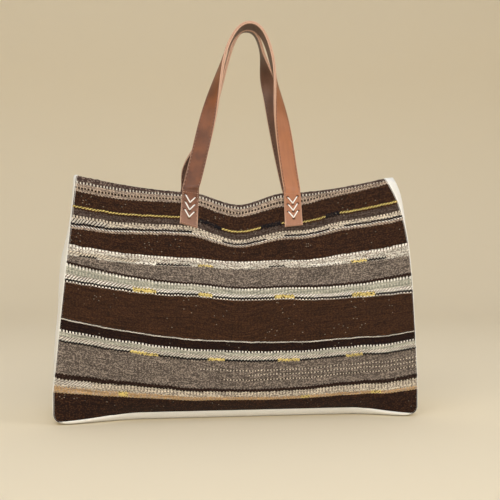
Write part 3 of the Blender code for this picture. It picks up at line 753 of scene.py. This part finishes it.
def seam_places():
    """Places along the front seam: down the left edge, along the base, up the right edge."""
    sides = [1 - (1 - step / SIDE_STATIONS) ** SIDE_CROWDING for step in range(SIDE_STATIONS + 1)]
    base = [-1 + 2 * step / BASE_STATIONS for step in range(1, BASE_STATIONS)]
    return ([(-1.0, panel_drop(-1.0) * share, False) for share in sides]
            + [(across, panel_drop(across), True) for across in base]
            + [(1.0, panel_drop(1.0) * share, False) for share in reversed(sides)])


def step_along(points, index):
    """The way along a line at one of its points, from the point before to the point after."""
    return points[min(index + 1, len(points) - 1)] - points[max(index - 1, 0)]


def lengths_along(points):
    """The length of a line up to each of its points."""
    runs = [0.0]
    for before, after in zip(points, points[1:]):
        runs.append(runs[-1] + (after - before).length)
    return runs


def seam_stations():
    """Each station: the seam point, its outward direction, its swell, and whether it is below."""
    places = seam_places()
    points = [face_point(across, drop) for across, drop, _ in places]
    stations = []
    for index, (point, (across, _, below)) in enumerate(zip(points, places)):
        outward = Vector((0, 0, -1))
        swell = point.z
        if not below:
            along = step_along(points, index)
            outward = Vector((along.z, 0, -along.x * SWELL_TILT)).normalized()
            swell = read_curve(LEFT_SWELL if across < 0 else RIGHT_SWELL, point.z)
        stations.append((point, outward, swell, below))
    return stations


STATIONS = seam_stations()


def gusset_point(station, share):
    """A point of the gusset's outer face, share 0 at the front seam and 1 at the back."""
    point, outward, swell, below = station
    from_seam = min(share, 1 - share) * 2 * abs(point.y)
    if below:
        amount = 1 - (1 - min(from_seam / GUSSET_TURN, 1.0)) ** 2
    else:
        amount = 4 * share * (1 - share)
    lift = swell * amount - roll(from_seam, GUSSET_ROLL)
    if not below:
        lift += waves(Vector((point.x, share * GUSSET_WAVE_SPAN, point.z))) * amount
    return Vector((point.x, point.y * (1 - 2 * share), point.z)) + outward * lift


def make_cotton(name, colour, shadow, pitch, relief):
    """Plain-woven cotton: threads over and under at the given pitch in mm."""
    material, cloth = start_material(name, "cloth", {"Sheen Weight": 0.2})
    across, along, _ = [part * (MILLIMETRES / pitch) for part in cloth.parts()]
    lines = across.floor() + along.floor()
    over = (lines * 0.5).fraction() * 2
    weave = over * across.peak() + (1 - over) * along.peak()
    slub = (across.vector(along * SLUB_STRETCH).noise(SLUB_SCALE)
            + along.vector(across * SLUB_STRETCH).noise(SLUB_SCALE))
    blotch = cloth.node("ShaderNodeTexCoord", output="Object").noise(BLOTCH_SCALE, detail=4.0)
    # Painted shading: each thread is lighter at its middle and darker where it dips under the
    # others. The second colour is a painted shadow laid in large blotches.
    tone = weave.spread(*COTTON_GAP_PAINTED_SHADES) * slub.spread(*SLUB_SHADES)
    dyed = tone.tinted(blotch.spread(*SHADOW_SHARES).blended(colour, shadow))
    return finish_material(material, dyed, slub.spread(*COTTON_ROUGHNESS),
                           (weave + slub * 0.5).bump(relief, strength=0.7))


def make_gusset():
    def place(column, row, on_outer):
        share = 0.5 + 0.5 * crowded_place(column, GUSSET_COLUMNS)
        share_step = 0.01
        point = gusset_point(STATIONS[row], share)
        along = (gusset_point(STATIONS[min(row + 1, len(STATIONS) - 1)], share)
                 - gusset_point(STATIONS[max(row - 1, 0)], share))
        over = (gusset_point(STATIONS[row], share + share_step)
                - gusset_point(STATIONS[row], share - share_step))
        inward = along.cross(over).normalized()
        if inward.dot(STATIONS[row][1]) > 0:
            inward.negate()
        depth = 0.0 if on_outer else GUSSET_THICKNESS
        corner = point + inward * depth
        corner.z = max(corner.z, depth)
        return corner, Vector((share * 2 * BASE_HALF_DEPTH, runs[row], 0))

    runs = lengths_along([station[0] for station in STATIONS])
    canvas = make_cotton("gusset_canvas", *GUSSET_COLOURS, GUSSET_PITCH, GUSSET_RELIEF)
    sheet = double_sheet(GUSSET_COLUMNS, len(STATIONS) - 1, place, ["cloth"])
    gusset = object_from("cotton_gusset", sheet, canvas)
    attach(gusset, "root")
    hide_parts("gusset")


make_gusset()


# Lining: a sack of thin unbleached cotton, sewn in just under the mouth edge. It hangs down along
# the panels, creases a little, and its flat bottom lies over the gusset.

LINING_SETBACK = 0.004
LINING_CLEARANCE = 0.0012
LINING_DRAW_IN = 0.0015
LINING_SIDE_GAP = 0.004
LINING_ROUNDING = 0.010
LINING_FLOOR = 0.0045
LINING_RINGS = 26
LINING_COLUMNS = 70
LINING_SIDE = 16
LINING_CREASE = 0.0022
CREASE_SCALE = 18
CREASES_BEGIN = 6
LINING_PITCH = 0.7
LINING_RELIEF = 0.0002
LINING_COLOURS = (colour_of(214, 204, 182), colour_of(190, 178, 152))
RING_SPACING = 0.013


def lining_ring(drop_share):
    """One ring of the sack, at a share of the panels' upright face."""
    front = []
    for column in range(LINING_COLUMNS + 1):
        across = -1 + 2 * column / LINING_COLUMNS
        lowest = panel_drop(across) - CURL_LENGTH - LINING_ROUNDING
        drop = LINING_SETBACK + (lowest - LINING_SETBACK) * drop_share
        point = face_point(across, drop)
        loose = smooth(drop_share * CREASES_BEGIN)
        crease = LINING_CREASE * loose * abs(noise.noise(point * CREASE_SCALE))
        inset = KILIM_THICKNESS + LINING_CLEARANCE + LINING_DRAW_IN * loose + crease
        point -= face_normal(across, drop) * inset
        if column in (0, LINING_COLUMNS):
            gap = GUSSET_THICKNESS + LINING_SIDE_GAP + LINING_CLEARANCE
            point.x -= math.copysign(gap, across)
        front.append(point)
    return close_ring(front, True)


def close_ring(front, swelling):
    """Adds the right side, the back and the left side to a ring's front."""
    ring = list(front)
    for end, curve, toward in ((front[-1], RIGHT_SWELL, 1), (front[0], LEFT_SWELL, -1)):
        for step in range(1, LINING_SIDE):
            share = step / LINING_SIDE
            swell = read_curve(curve, end.z) * 4 * share * (1 - share) if swelling else 0.0
            ring.append(Vector((end.x + toward * swell, toward * end.y * (1 - 2 * share), end.z)))
        if toward > 0:
            ring += [Vector((point.x, -point.y, point.z)) for point in reversed(front)]
    return ring


def lining_floor_ring(inset, height):
    front = []
    for column in range(LINING_COLUMNS + 1):
        across = -1 + 2 * column / LINING_COLUMNS
        half = BOTTOM_HALF_WIDTHS[across >= 0] - CORNER_RADIUS - inset
        depth = face_point(across, panel_drop(across)).y + inset
        front.append(Vector((across * half, depth, height)))
    return close_ring(front, False)


def make_lining():
    over_curl = SEAM_MIDDLE_HEIGHT + KILIM_THICKNESS + LINING_ROUNDING
    rings = [lining_ring(step / LINING_RINGS) for step in range(LINING_RINGS + 1)]
    rings.append(lining_floor_ring(LINING_ROUNDING, over_curl))
    rings.append(lining_floor_ring(GUSSET_TURN + LINING_ROUNDING, LINING_FLOOR))
    sack = bmesh.new()
    cloth = sack.verts.layers.float_vector.new("cloth")
    loops = []
    for depth, ring in enumerate(rings):
        verts = [sack.verts.new(point) for point in ring]
        for vert, run in zip(verts, lengths_along(ring)):
            vert[cloth] = Vector((run, depth * RING_SPACING, 0))
        loops.append([sack.edges.new(pair) for pair in zip(verts[-1:] + verts, verts)])
    for upper, lower in zip(loops, loops[1:]):
        bmesh.ops.bridge_loops(sack, edges=upper + lower)
    bmesh.ops.edgeloop_fill(sack, edges=loops[-1])
    bmesh.ops.recalc_face_normals(sack, faces=sack.faces[:])
    if sum(face.normal.z for face in sack.faces if len(face.verts) > 4) < 0:
        bmesh.ops.reverse_faces(sack, faces=sack.faces[:])
    cotton = make_cotton("lining_cotton", *LINING_COLOURS, LINING_PITCH, LINING_RELIEF)
    lining = object_from("cotton_lining", sack, cotton)
    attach(lining, "root")
    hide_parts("lining")


make_lining()


# Handles: each is one long strap of cognac leather. Its two ends lie flat on the panel; between
# them a second strip of leather backs it, and both are stitched together along the edges. The
# straps twist on the way up, until they stand on edge side by side at the top.

STRAP_WIDTH = 0.026
LEATHER_THICKNESS = 0.0020
LEATHER_GAP = 0.0003
END_WIDTH = 0.028
END_LENGTH = 0.058
END_RISE = 0.005
END_SPLAYS = (math.radians(4), math.radians(1))
END_TILTS = (math.radians(16), math.radians(6))
TILT_RUN = 0.014
END_SEAT = 0.0010
HANDLE_RISE = 0.272
ARCH_CENTRE = 0.022
ARCH_GAP = 0.0015
HINGE_GAP = 0.0009
FOOT_RUN = 0.020
HINGE_HEIGHT = MOUTH_HANDLE_HEIGHT + END_RISE
# Each handle: middle of its feet, half the distance between them, how its legs bend in (lean,
# height and reach of the arch), the shares of the rise over which its left and its right leg
# twist, and how far its left leg bows out just above the bag. In HANDLES, 1 faces the front.
FRONT_HANDLE = (0.005, FOOT_HALF_SPACING, (0.211, 0.138, 0.048), (0.20, 0.88), (0.19, 0.81), 0.0)
BACK_HANDLE = (0.014, 0.088, (0.307, 0.200, 0.037), (0.04, 0.54), (0.56, 0.90), 0.010)
HANDLES = {"front": (FRONT_HANDLE, 1), "back": (BACK_HANDLE, -1)}
BOW_RISE = 0.15
BOW_END = 0.42
ARCH_OUTWARDS = 0.02
SETTLING_STEPS = 4
LOOP_STATIONS = 150
END_STATIONS = 26
EDGE_ROUNDING = 0.00035
STITCH_GROOVE = 0.00030
LEATHER_CROWN = 0.00025
STITCH_SHARE = 0.85
BACKING_FOOT = MOUTH_HANDLE_HEIGHT + 0.0012
# Holes for three V stitches on each end: how far down the first lies, how far apart they are, the
# size of one stitch, and how far outside it its holes lie.
CHEVRONS = 3
FIRST_CHEVRON_DROP = 0.0125
CHEVRON_PITCH = 0.0113
CHEVRON_HALF_WIDTH = 0.0072
CHEVRON_HEIGHT = 0.0100
HOLE_OFFSET = 0.0009
HOLE_RADIUS = 0.0011
HOLE_SIDES = 12
PUNCH_LENGTH = 0.012
# Places across a strap, as shares of its half width.
STRAP_ACROSS = (-1.0, -0.985, -0.95, -0.90, -0.85, -0.80, -0.6, -0.3, 0.0,
                0.3, 0.6, 0.80, 0.85, 0.90, 0.95, 0.985, 1.0)


def over_panel(x, height, lift):
    """A point at a distance over the front panel's face, from its x and its height."""
    across = x / TOP_HALF_WIDTHS[0]
    for _ in range(SETTLING_STEPS):
        share = (height - curl_top(across)) / (mouth_height(across) - curl_top(across))
        across = x / edge_half_width(across, share, height)
    drop = mouth_height(across) - height
    return face_point(across, drop) + face_normal(across, drop) * lift


def end_point(foot, below, aside, lift):
    """A point on a flat end, by length below the bend, distance aside and lift off its back.

    The end splays outwards, and below the bend it hangs askew, its lower edge tilted.
    """
    outwards = math.copysign(1, foot)
    splay, tilt = END_SPLAYS[foot > 0], END_TILTS[foot > 0]
    x = foot + outwards * below * math.sin(splay) + aside
    height = HINGE_HEIGHT - below * math.cos(splay)
    height += outwards * aside * math.tan(tilt) * smooth(below / TILT_RUN)
    return over_panel(x, height, END_SEAT + lift)


def feet_of(handle):
    middle, half_spacing = handle[:2]
    return middle - half_spacing, middle + half_spacing


def leg_point(handle, along, side):
    """A point of one leg in the handle's own plane, from the foot at 0 to the arch at 1."""
    centre, half_spacing, (lean, lean_height, arch_reach), _, _, bow_width = handle
    start = Vector((half_spacing, 0.0))
    first = Vector((half_spacing - lean * lean_height, lean_height))
    second = Vector((arch_reach, HANDLE_RISE))
    finish = Vector((0.0, HANDLE_RISE))
    rest = 1 - along
    point = (start * rest ** 3 + first * 3 * rest ** 2 * along
             + second * 3 * rest * along ** 2 + finish * along ** 3)
    rise = point.y / HANDLE_RISE
    if side < 0:
        bow = smooth(rise / BOW_RISE) * (1 - smooth((rise - BOW_RISE) / (BOW_END - BOW_RISE)))
        point.x += bow_width * bow
    return Vector((centre + (ARCH_CENTRE - centre) * rise + side * point.x, point.y))


def loop_point(handle, station):
    if station <= 0.5:
        return leg_point(handle, station * 2, -1)
    return leg_point(handle, 2 - station * 2, 1)


def strap_twist(handle, station):
    """Turn of the strap's face, from flat on the panel to facing away from the arch."""
    left_twist, right_twist = handle[3:5]
    first, last = left_twist if station <= 0.5 else right_twist
    rise = loop_point(handle, station).y / HANDLE_RISE
    return math.radians(90) * smooth((rise - first) / (last - first))


def loop_frames(handle, facing):
    """Frames up one leg and down the other: centre of the outer face, face and width directions."""
    outer = min(end_point(foot, 0.0, aside, LEATHER_THICKNESS).y
                for foot in feet_of(handle) for aside in (-STRAP_WIDTH / 2, STRAP_WIDTH / 2))
    lean = math.asin((abs(outer) - STRAP_WIDTH / 2 - ARCH_GAP) / HANDLE_RISE)
    up = Vector((0, facing * math.sin(lean), math.cos(lean)))
    front = Vector((0, -facing * math.cos(lean), math.sin(lean)))
    frames = []
    step = 0.002
    for index in range(LOOP_STATIONS + 1):
        station = index / LOOP_STATIONS
        flat = loop_point(handle, station)
        low = loop_point(handle, max(station - step, 0.0))
        high = loop_point(handle, min(station + step, 1.0))
        tangent = (Vector((1, 0, 0)) * (high.x - low.x) + up * (high.y - low.y)).normalized()
        away = tangent.cross(front) * facing
        if away.dot(Vector((flat.x - ARCH_CENTRE, 0, 0)) + up * ARCH_OUTWARDS) < 0:
            away.negate()
        twist = strap_twist(handle, station)
        face = front * math.cos(twist) + away * math.sin(twist)
        width = tangent.cross(face).normalized()
        squared = smooth(flat.y / FOOT_RUN)
        width = Vector((math.copysign(1, width.x), 0, 0)).lerp(width, squared).normalized()
        face = Vector((0, -facing, 0)).lerp(face, squared).normalized()
        centre = Vector((flat.x, outer * facing, HINGE_HEIGHT + HINGE_GAP)) + up * flat.y
        frames.append((centre, face, width, STRAP_WIDTH / 2))
    return frames


def end_frames(foot, facing, sign):
    """Frames of one flat end, from its lower edge up to the bend."""
    frames = []
    step = 0.001
    for index in range(END_STATIONS):
        below = END_LENGTH * (1 - index / END_STATIONS)
        half = (STRAP_WIDTH + (END_WIDTH - STRAP_WIDTH) * below / END_LENGTH) / 2
        left, middle, right = [end_point(foot, below, aside, LEATHER_THICKNESS)
                               for aside in (-half, 0.0, half)]
        low = end_point(foot, below + step, 0.0, LEATHER_THICKNESS)
        face = (right - left).cross(middle - low).normalized()
        for vector in (left, middle, right, face):
            vector.y *= facing
        frames.append((middle, face, (right - left).normalized() * sign, half))
    return frames


def strap_frames(handle, facing):
    """Frames of a whole strap, from the lower edge of its left end to that of its right end."""
    left_foot, right_foot = feet_of(handle)
    left = end_frames(left_foot, facing, facing)
    right = end_frames(right_foot, facing, -facing)
    return left + loop_frames(handle, facing) + list(reversed(right))


# The leather's surface: it pales towards the right end of the strap and where its lower ends are
# worn, is dull on them, has a painted shade in the groove under each row of stitches, and is skived
# pale at its edges, partly a painted highlight where the rounded edge catches light.
STRAP_RUN = 0.72
DULL_RUN = 0.006
FRAY_SCALE = 300.0
END_SHADE_START = 0.06
END_SHADES = (1.0, 0.9)
END_WIDENING = 0.0004
SEAM_HALF_WIDTH = 0.0006
PALE_EDGE = 0.0005
PALING_START = 0.1
PALING_SHARE = 0.85
WORN_SHARE = 0.6
GROOVE_SHADE_SHARE = 0.75
EDGE_SHARE = 0.8
CLOUD_SCALE = 38.0
CLOUD_CONTRAST = 3
GRAIN_SCALE = 900.0
PORE_SCALE = 1500.0
HIDE_SHADES = (0.86, 1.12)
HIDE_STREAK_STRETCH = (260, 30)
HIDE_STREAK_SHADES = (0.8, 1.2)
LEATHER_ROUGHNESS = (0.34, 0.56)
END_DULLNESS = 0.16
LEATHER_RELIEF = 0.0002
RAW_COLOUR = colour_of(206, 166, 142)
RAW_SHADES = (0.75, 1.1)
RAW_ROUGHNESS = (0.8, 0.95)
WORN_END = colour_of(152, 115, 97)


def make_leather(name, colour, shade, light):
    """Smooth leather: cloudy, fine-grained, with a soft gloss."""
    material, strap = start_material(name, "strap", {"Specular IOR Level": 0.35})
    aside, run, to_bend = strap.parts()
    place = aside.vector(run)
    cloud = ((place.noise(CLOUD_SCALE, detail=4.0) - 0.5) * CLOUD_CONTRAST + 0.5).clamped()
    tone = cloud.blended(shade, colour)
    tone = ((run / STRAP_RUN - PALING_START).clamped() * PALING_SHARE).blended(tone, light)
    tone = (to_bend / END_LENGTH + END_SHADE_START).clamped().spread(*END_SHADES).tinted(tone)
    on_end = (to_bend / DULL_RUN + place.noise(FRAY_SCALE) - 0.5).clamped()
    worn = (to_bend / END_LENGTH).clamped() * on_end * WORN_SHARE
    tone = worn.blended(tone, WORN_END)
    fine = place.noise(GRAIN_SCALE, detail=3.0)
    across, along = HIDE_STREAK_STRETCH
    streak = (aside * across).vector(run * along).noise(1.0, detail=3.0)
    tone = (fine.spread(*HIDE_SHADES) * streak.spread(*HIDE_STREAK_SHADES)).tinted(tone)
    # Painted shade: a darker line along each row of stitches, where the groove lies.
    from_seam = (aside.size() - STITCH_SHARE * STRAP_WIDTH / 2).size()
    groove = (from_seam < SEAM_HALF_WIDTH) * (1 - on_end) * GROOVE_SHADE_SHARE
    tone = groove.blended(tone, shade)
    # Pale edges: the raw leather's own colour, partly a painted highlight where the rounded edge
    # catches light.
    from_middle = STRAP_WIDTH / 2 - PALE_EDGE + on_end * END_WIDENING
    tone = ((aside.size() > from_middle) * EDGE_SHARE).blended(tone, RAW_COLOUR)
    pores = place.node("ShaderNodeTexVoronoi", {"feature": "F1"},
                       {"Vector": place, "Scale": PORE_SCALE})
    rough = on_end * END_DULLNESS + streak.spread(*LEATHER_ROUGHNESS)
    relief = (pores * 0.5 + fine).bump(LEATHER_RELIEF, strength=0.5)
    return finish_material(material, tone, rough, relief)


def make_raw_edge():
    """The cut edge of the leather: pale, fibrous and dull."""
    material, strap = start_material("raw_leather_edge", "strap", {})
    fibre = strap.noise(GRAIN_SCALE)
    tone = fibre.spread(*RAW_SHADES).tinted(RAW_COLOUR[:3])
    return finish_material(material, tone, fibre.spread(*RAW_ROUGHNESS),
                           fibre.bump(LEATHER_RELIEF, strength=0.5))


COGNAC = make_leather("cognac_leather", colour_of(114, 64, 34), colour_of(72, 39, 21),
                      colour_of(176, 114, 76))
INNER_LEATHER = make_leather("inner_leather", colour_of(104, 72, 56), colour_of(70, 46, 36),
                             colour_of(120, 86, 69))
RAW_EDGE = make_raw_edge()


def leather_layer(name, frames, lift, skin):
    """One layer of leather, its section carried along the frames, its cut edges left raw."""
    runs = lengths_along([frame[0] for frame in frames])

    def place(column, row, on_outer):
        centre, face, width, half = frames[row]
        share = STRAP_ACROSS[column]
        height = LEATHER_CROWN * (1 - share * share) - roll((1 - abs(share)) * half, EDGE_ROUNDING)
        if abs(share) == STITCH_SHARE and centre.z > HINGE_HEIGHT:
            height -= STITCH_GROOVE
        if not on_outer:
            height = -LEATHER_THICKNESS - height / 2
        leather = Vector((half * share, runs[row], HINGE_HEIGHT - centre.z))
        return centre + width * (half * share) + face * (lift + height), leather

    sheet = double_sheet(len(STRAP_ACROSS) - 1, len(frames) - 1, place, ["strap"], edge_material=1)
    return object_from(name, sheet, skin, RAW_EDGE)


def punch_holes(strap, handle, facing):
    """Punches the three holes of each V stitch through the strap's ends."""
    shape = bmesh.new()
    for foot in feet_of(handle):
        for index in range(CHEVRONS):
            top = FIRST_CHEVRON_DROP + index * CHEVRON_PITCH
            for aside in (-1, 0, 1):
                below = top - HOLE_OFFSET if aside else top + CHEVRON_HEIGHT + HOLE_OFFSET
                matrix = Vector((0, -facing, 0)).to_track_quat("Z", "Y").to_matrix().to_4x4()
                apart = aside * (CHEVRON_HALF_WIDTH + HOLE_OFFSET)
                matrix.translation = end_point(foot, below, apart, 0.0)
                matrix.translation.y *= facing
                bmesh.ops.create_cone(shape, cap_ends=True, segments=HOLE_SIDES,
                                      radius1=HOLE_RADIUS, radius2=HOLE_RADIUS,
                                      depth=PUNCH_LENGTH, matrix=matrix)
    cutter = object_from("hole_punch", shape)
    punch = strap.modifiers.new("holes", "BOOLEAN")
    punch.operation = "DIFFERENCE"
    punch.solver = "EXACT"
    punch.object = cutter
    graph = bpy.context.evaluated_depsgraph_get()
    punched = bpy.data.meshes.new_from_object(strap.evaluated_get(graph))
    strap.modifiers.clear()
    strap.data = punched
    bpy.data.objects.remove(cutter, do_unlink=True)


def hinged(piece):
    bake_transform(piece)


def make_straps(side, handle, facing):
    """A handle's leather: the outer strap with its two ends, and the backing above the panel."""
    frames = strap_frames(handle, facing)
    strap = leather_layer(side + "_strap_leather", frames, 0.0, COGNAC)
    punch_holes(strap, handle, facing)
    hinged(strap)
    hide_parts(side + "_handle_strap", side + "_left_handle_end",
                side + "_right_handle_end")
    above_panel = [frame for frame in frames if frame[0].z > BACKING_FOOT]
    backing = leather_layer(side + "_backing_leather", above_panel,
                            -LEATHER_THICKNESS - LEATHER_GAP, INNER_LEATHER)
    hinged(backing)
    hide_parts(side + "_handle_backing")


for side, (handle, facing) in HANDLES.items():
    make_straps(side, handle, facing)


# Stitching of the straps: brown linen thread, one row near each edge from end to end, one row
# across each foot where the backing begins, and one across each end near its lower edge.

STITCH_PITCH = 0.0034
STITCH_LENGTH = 0.0023
STITCH_WIDTH = 0.00050
STITCH_HEIGHT = 0.00040
FOOT_ROW = END_STATIONS - 3
INNER_ROW_START = 0.004
STRANDS_PER_METRE = 1400
STRAND_GAP_PAINTED_SHADES = (0.72, 1.08)
FUZZ_SCALE = 800.0
FUZZ_SHADES = (0.85, 1.1)
THREAD_ROUGHNESS = (0.55, 0.8)
THREAD_RELIEF = 0.0002


def make_thread(name, colour):
    """Twisted thread: slanting strands, slightly glossy with wax."""
    material, place = start_material(name, "thread", {})
    around, along, _ = place.parts()
    strand = (around + along * STRANDS_PER_METRE).peak()
    fuzz = place.noise(FUZZ_SCALE)
    # Painted shading: the thread darkens in the gaps between its slanting strands.
    tone = (strand.spread(*STRAND_GAP_PAINTED_SHADES) * fuzz.spread(*FUZZ_SHADES)).tinted(colour[:3])
    return finish_material(material, tone, fuzz.spread(*THREAD_ROUGHNESS),
                           strand.bump(THREAD_RELIEF, strength=0.8))


BROWN_THREAD = make_thread("brown_linen_thread", colour_of(192, 158, 134))


def add_stitch(shape, middle, along, normal):
    """One short stitch: a long flat bead."""
    aside = along.cross(normal)
    turn = Matrix((aside, along, normal)).transposed().to_4x4()
    sizes = Matrix.Diagonal((STITCH_WIDTH, STITCH_LENGTH / 2, STITCH_HEIGHT, 1.0))
    bmesh.ops.create_icosphere(shape, subdivisions=1, radius=1.0,
                               matrix=Matrix.Translation(middle) @ turn @ sizes)


def edge_stitches(shape, frames, share, lift, outwards):
    """A row of stitches along a strap; outwards is 1 on its outer face and -1 on its inner."""
    rest = 0.0
    for before, after in zip(frames, frames[1:]):
        start, finish = [centre + width * (half * share) + face * lift
                         for centre, face, width, half in (before, after)]
        step = finish - start
        rest += step.length
        if rest >= STITCH_PITCH:
            rest -= STITCH_PITCH
            add_stitch(shape, finish, step.normalized(), after[1] * outwards)


def cross_stitches(shape, frame):
    """A row of stitches straight across a strap."""
    centre, face, width, half = frame
    reach = int(half * STITCH_SHARE / STITCH_PITCH)
    for step in range(-reach, reach + 1):
        add_stitch(shape, centre + width * (step * STITCH_PITCH), width, face)


def sew_strap(side, frames):
    shape = bmesh.new()
    inner = -2 * LEATHER_THICKNESS - LEATHER_GAP
    doubled = [frame for frame in frames if frame[0].z > HINGE_HEIGHT + INNER_ROW_START]
    for share in (-STITCH_SHARE, STITCH_SHARE):
        edge_stitches(shape, frames[1:-1], share, 0.0, 1)
        edge_stitches(shape, doubled, share, inner, -1)
    for station in (1, FOOT_ROW, -1 - FOOT_ROW, -2):
        cross_stitches(shape, frames[station])
    seam = object_from(side + "_strap_stitching", shape, BROWN_THREAD)
    hinged(seam)


for side, (handle, facing) in HANDLES.items():
    sew_strap(side, strap_frames(handle, facing))


# V stitches: three on each end of a strap, of thick white waxed thread. Each dips into three
# punched holes, at its two tips and at its point, and holds the strap's end to the panel.

THREAD_RADIUS = 0.0010
THREAD_DIP = 0.0009
THREAD_SEAT = 0.9
THREAD_SIDES = 8
ARM_STEPS = 9
# Where along an arm the thread dips, as a share from the point: at the tip, and near the point,
# where it doesn't dip as deep.
TIP_DIP_START = 0.86
TIP_DIP_RUN = 0.14
POINT_DIP_RUN = 0.10
POINT_DIP = 0.7
WHITE_THREAD = make_thread("white_waxed_thread", colour_of(252, 248, 242))


def chevron_route(foot, facing, index):
    """Centre line of one V stitch, from one hole over the leather to the point and back."""
    top = FIRST_CHEVRON_DROP + index * CHEVRON_PITCH
    route = []
    for step in range(-ARM_STEPS, ARM_STEPS + 1):
        share = step / ARM_STEPS
        into_hole = max(smooth((abs(share) - TIP_DIP_START) / TIP_DIP_RUN),
                        POINT_DIP * smooth((POINT_DIP_RUN - abs(share)) / POINT_DIP_RUN))
        lift = LEATHER_THICKNESS + THREAD_RADIUS * THREAD_SEAT
        lift -= (THREAD_RADIUS + THREAD_DIP) * into_hole
        point = end_point(foot, top + CHEVRON_HEIGHT * (1 - abs(share)),
                          CHEVRON_HALF_WIDTH * share, lift)
        point.y *= facing
        route.append(point)
    return route


def make_chevron(name, route, node):
    shape = bmesh.new()
    layer = shape.verts.layers.float_vector.new("thread")
    rings = []
    for index, (point, run) in enumerate(zip(route, lengths_along(route))):
        matrix = step_along(route, index).to_track_quat("Z", "Y").to_matrix().to_4x4()
        matrix.translation = point
        circle = bmesh.ops.create_circle(shape, segments=THREAD_SIDES, radius=THREAD_RADIUS,
                                         matrix=matrix)["verts"]
        for number, vert in enumerate(circle):
            vert[layer] = Vector((number / THREAD_SIDES, run, 0))
        rings.append([edge for edge in shape.edges if edge.verts[0] in circle
                      and edge.verts[1] in circle])
    for before, after in zip(rings, rings[1:]):
        bmesh.ops.bridge_loops(shape, edges=before + after)
    for ring in (rings[0], rings[-1]):
        bmesh.ops.edgeloop_fill(shape, edges=ring)
    bmesh.ops.recalc_face_normals(shape, faces=shape.faces[:])
    stitch = object_from(name, shape, WHITE_THREAD)
    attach(stitch, "root")
    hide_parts(node)


for side, (handle, facing) in HANDLES.items():
    for foot, place in zip(feet_of(handle), ("left", "right")):
        for index in range(CHEVRONS):
            make_chevron(f"{side}_{place}_v_stitch_{index + 1}",
                         chevron_route(foot, facing, index),
                         f"{side}_{place}_chevron_{index + 1}")
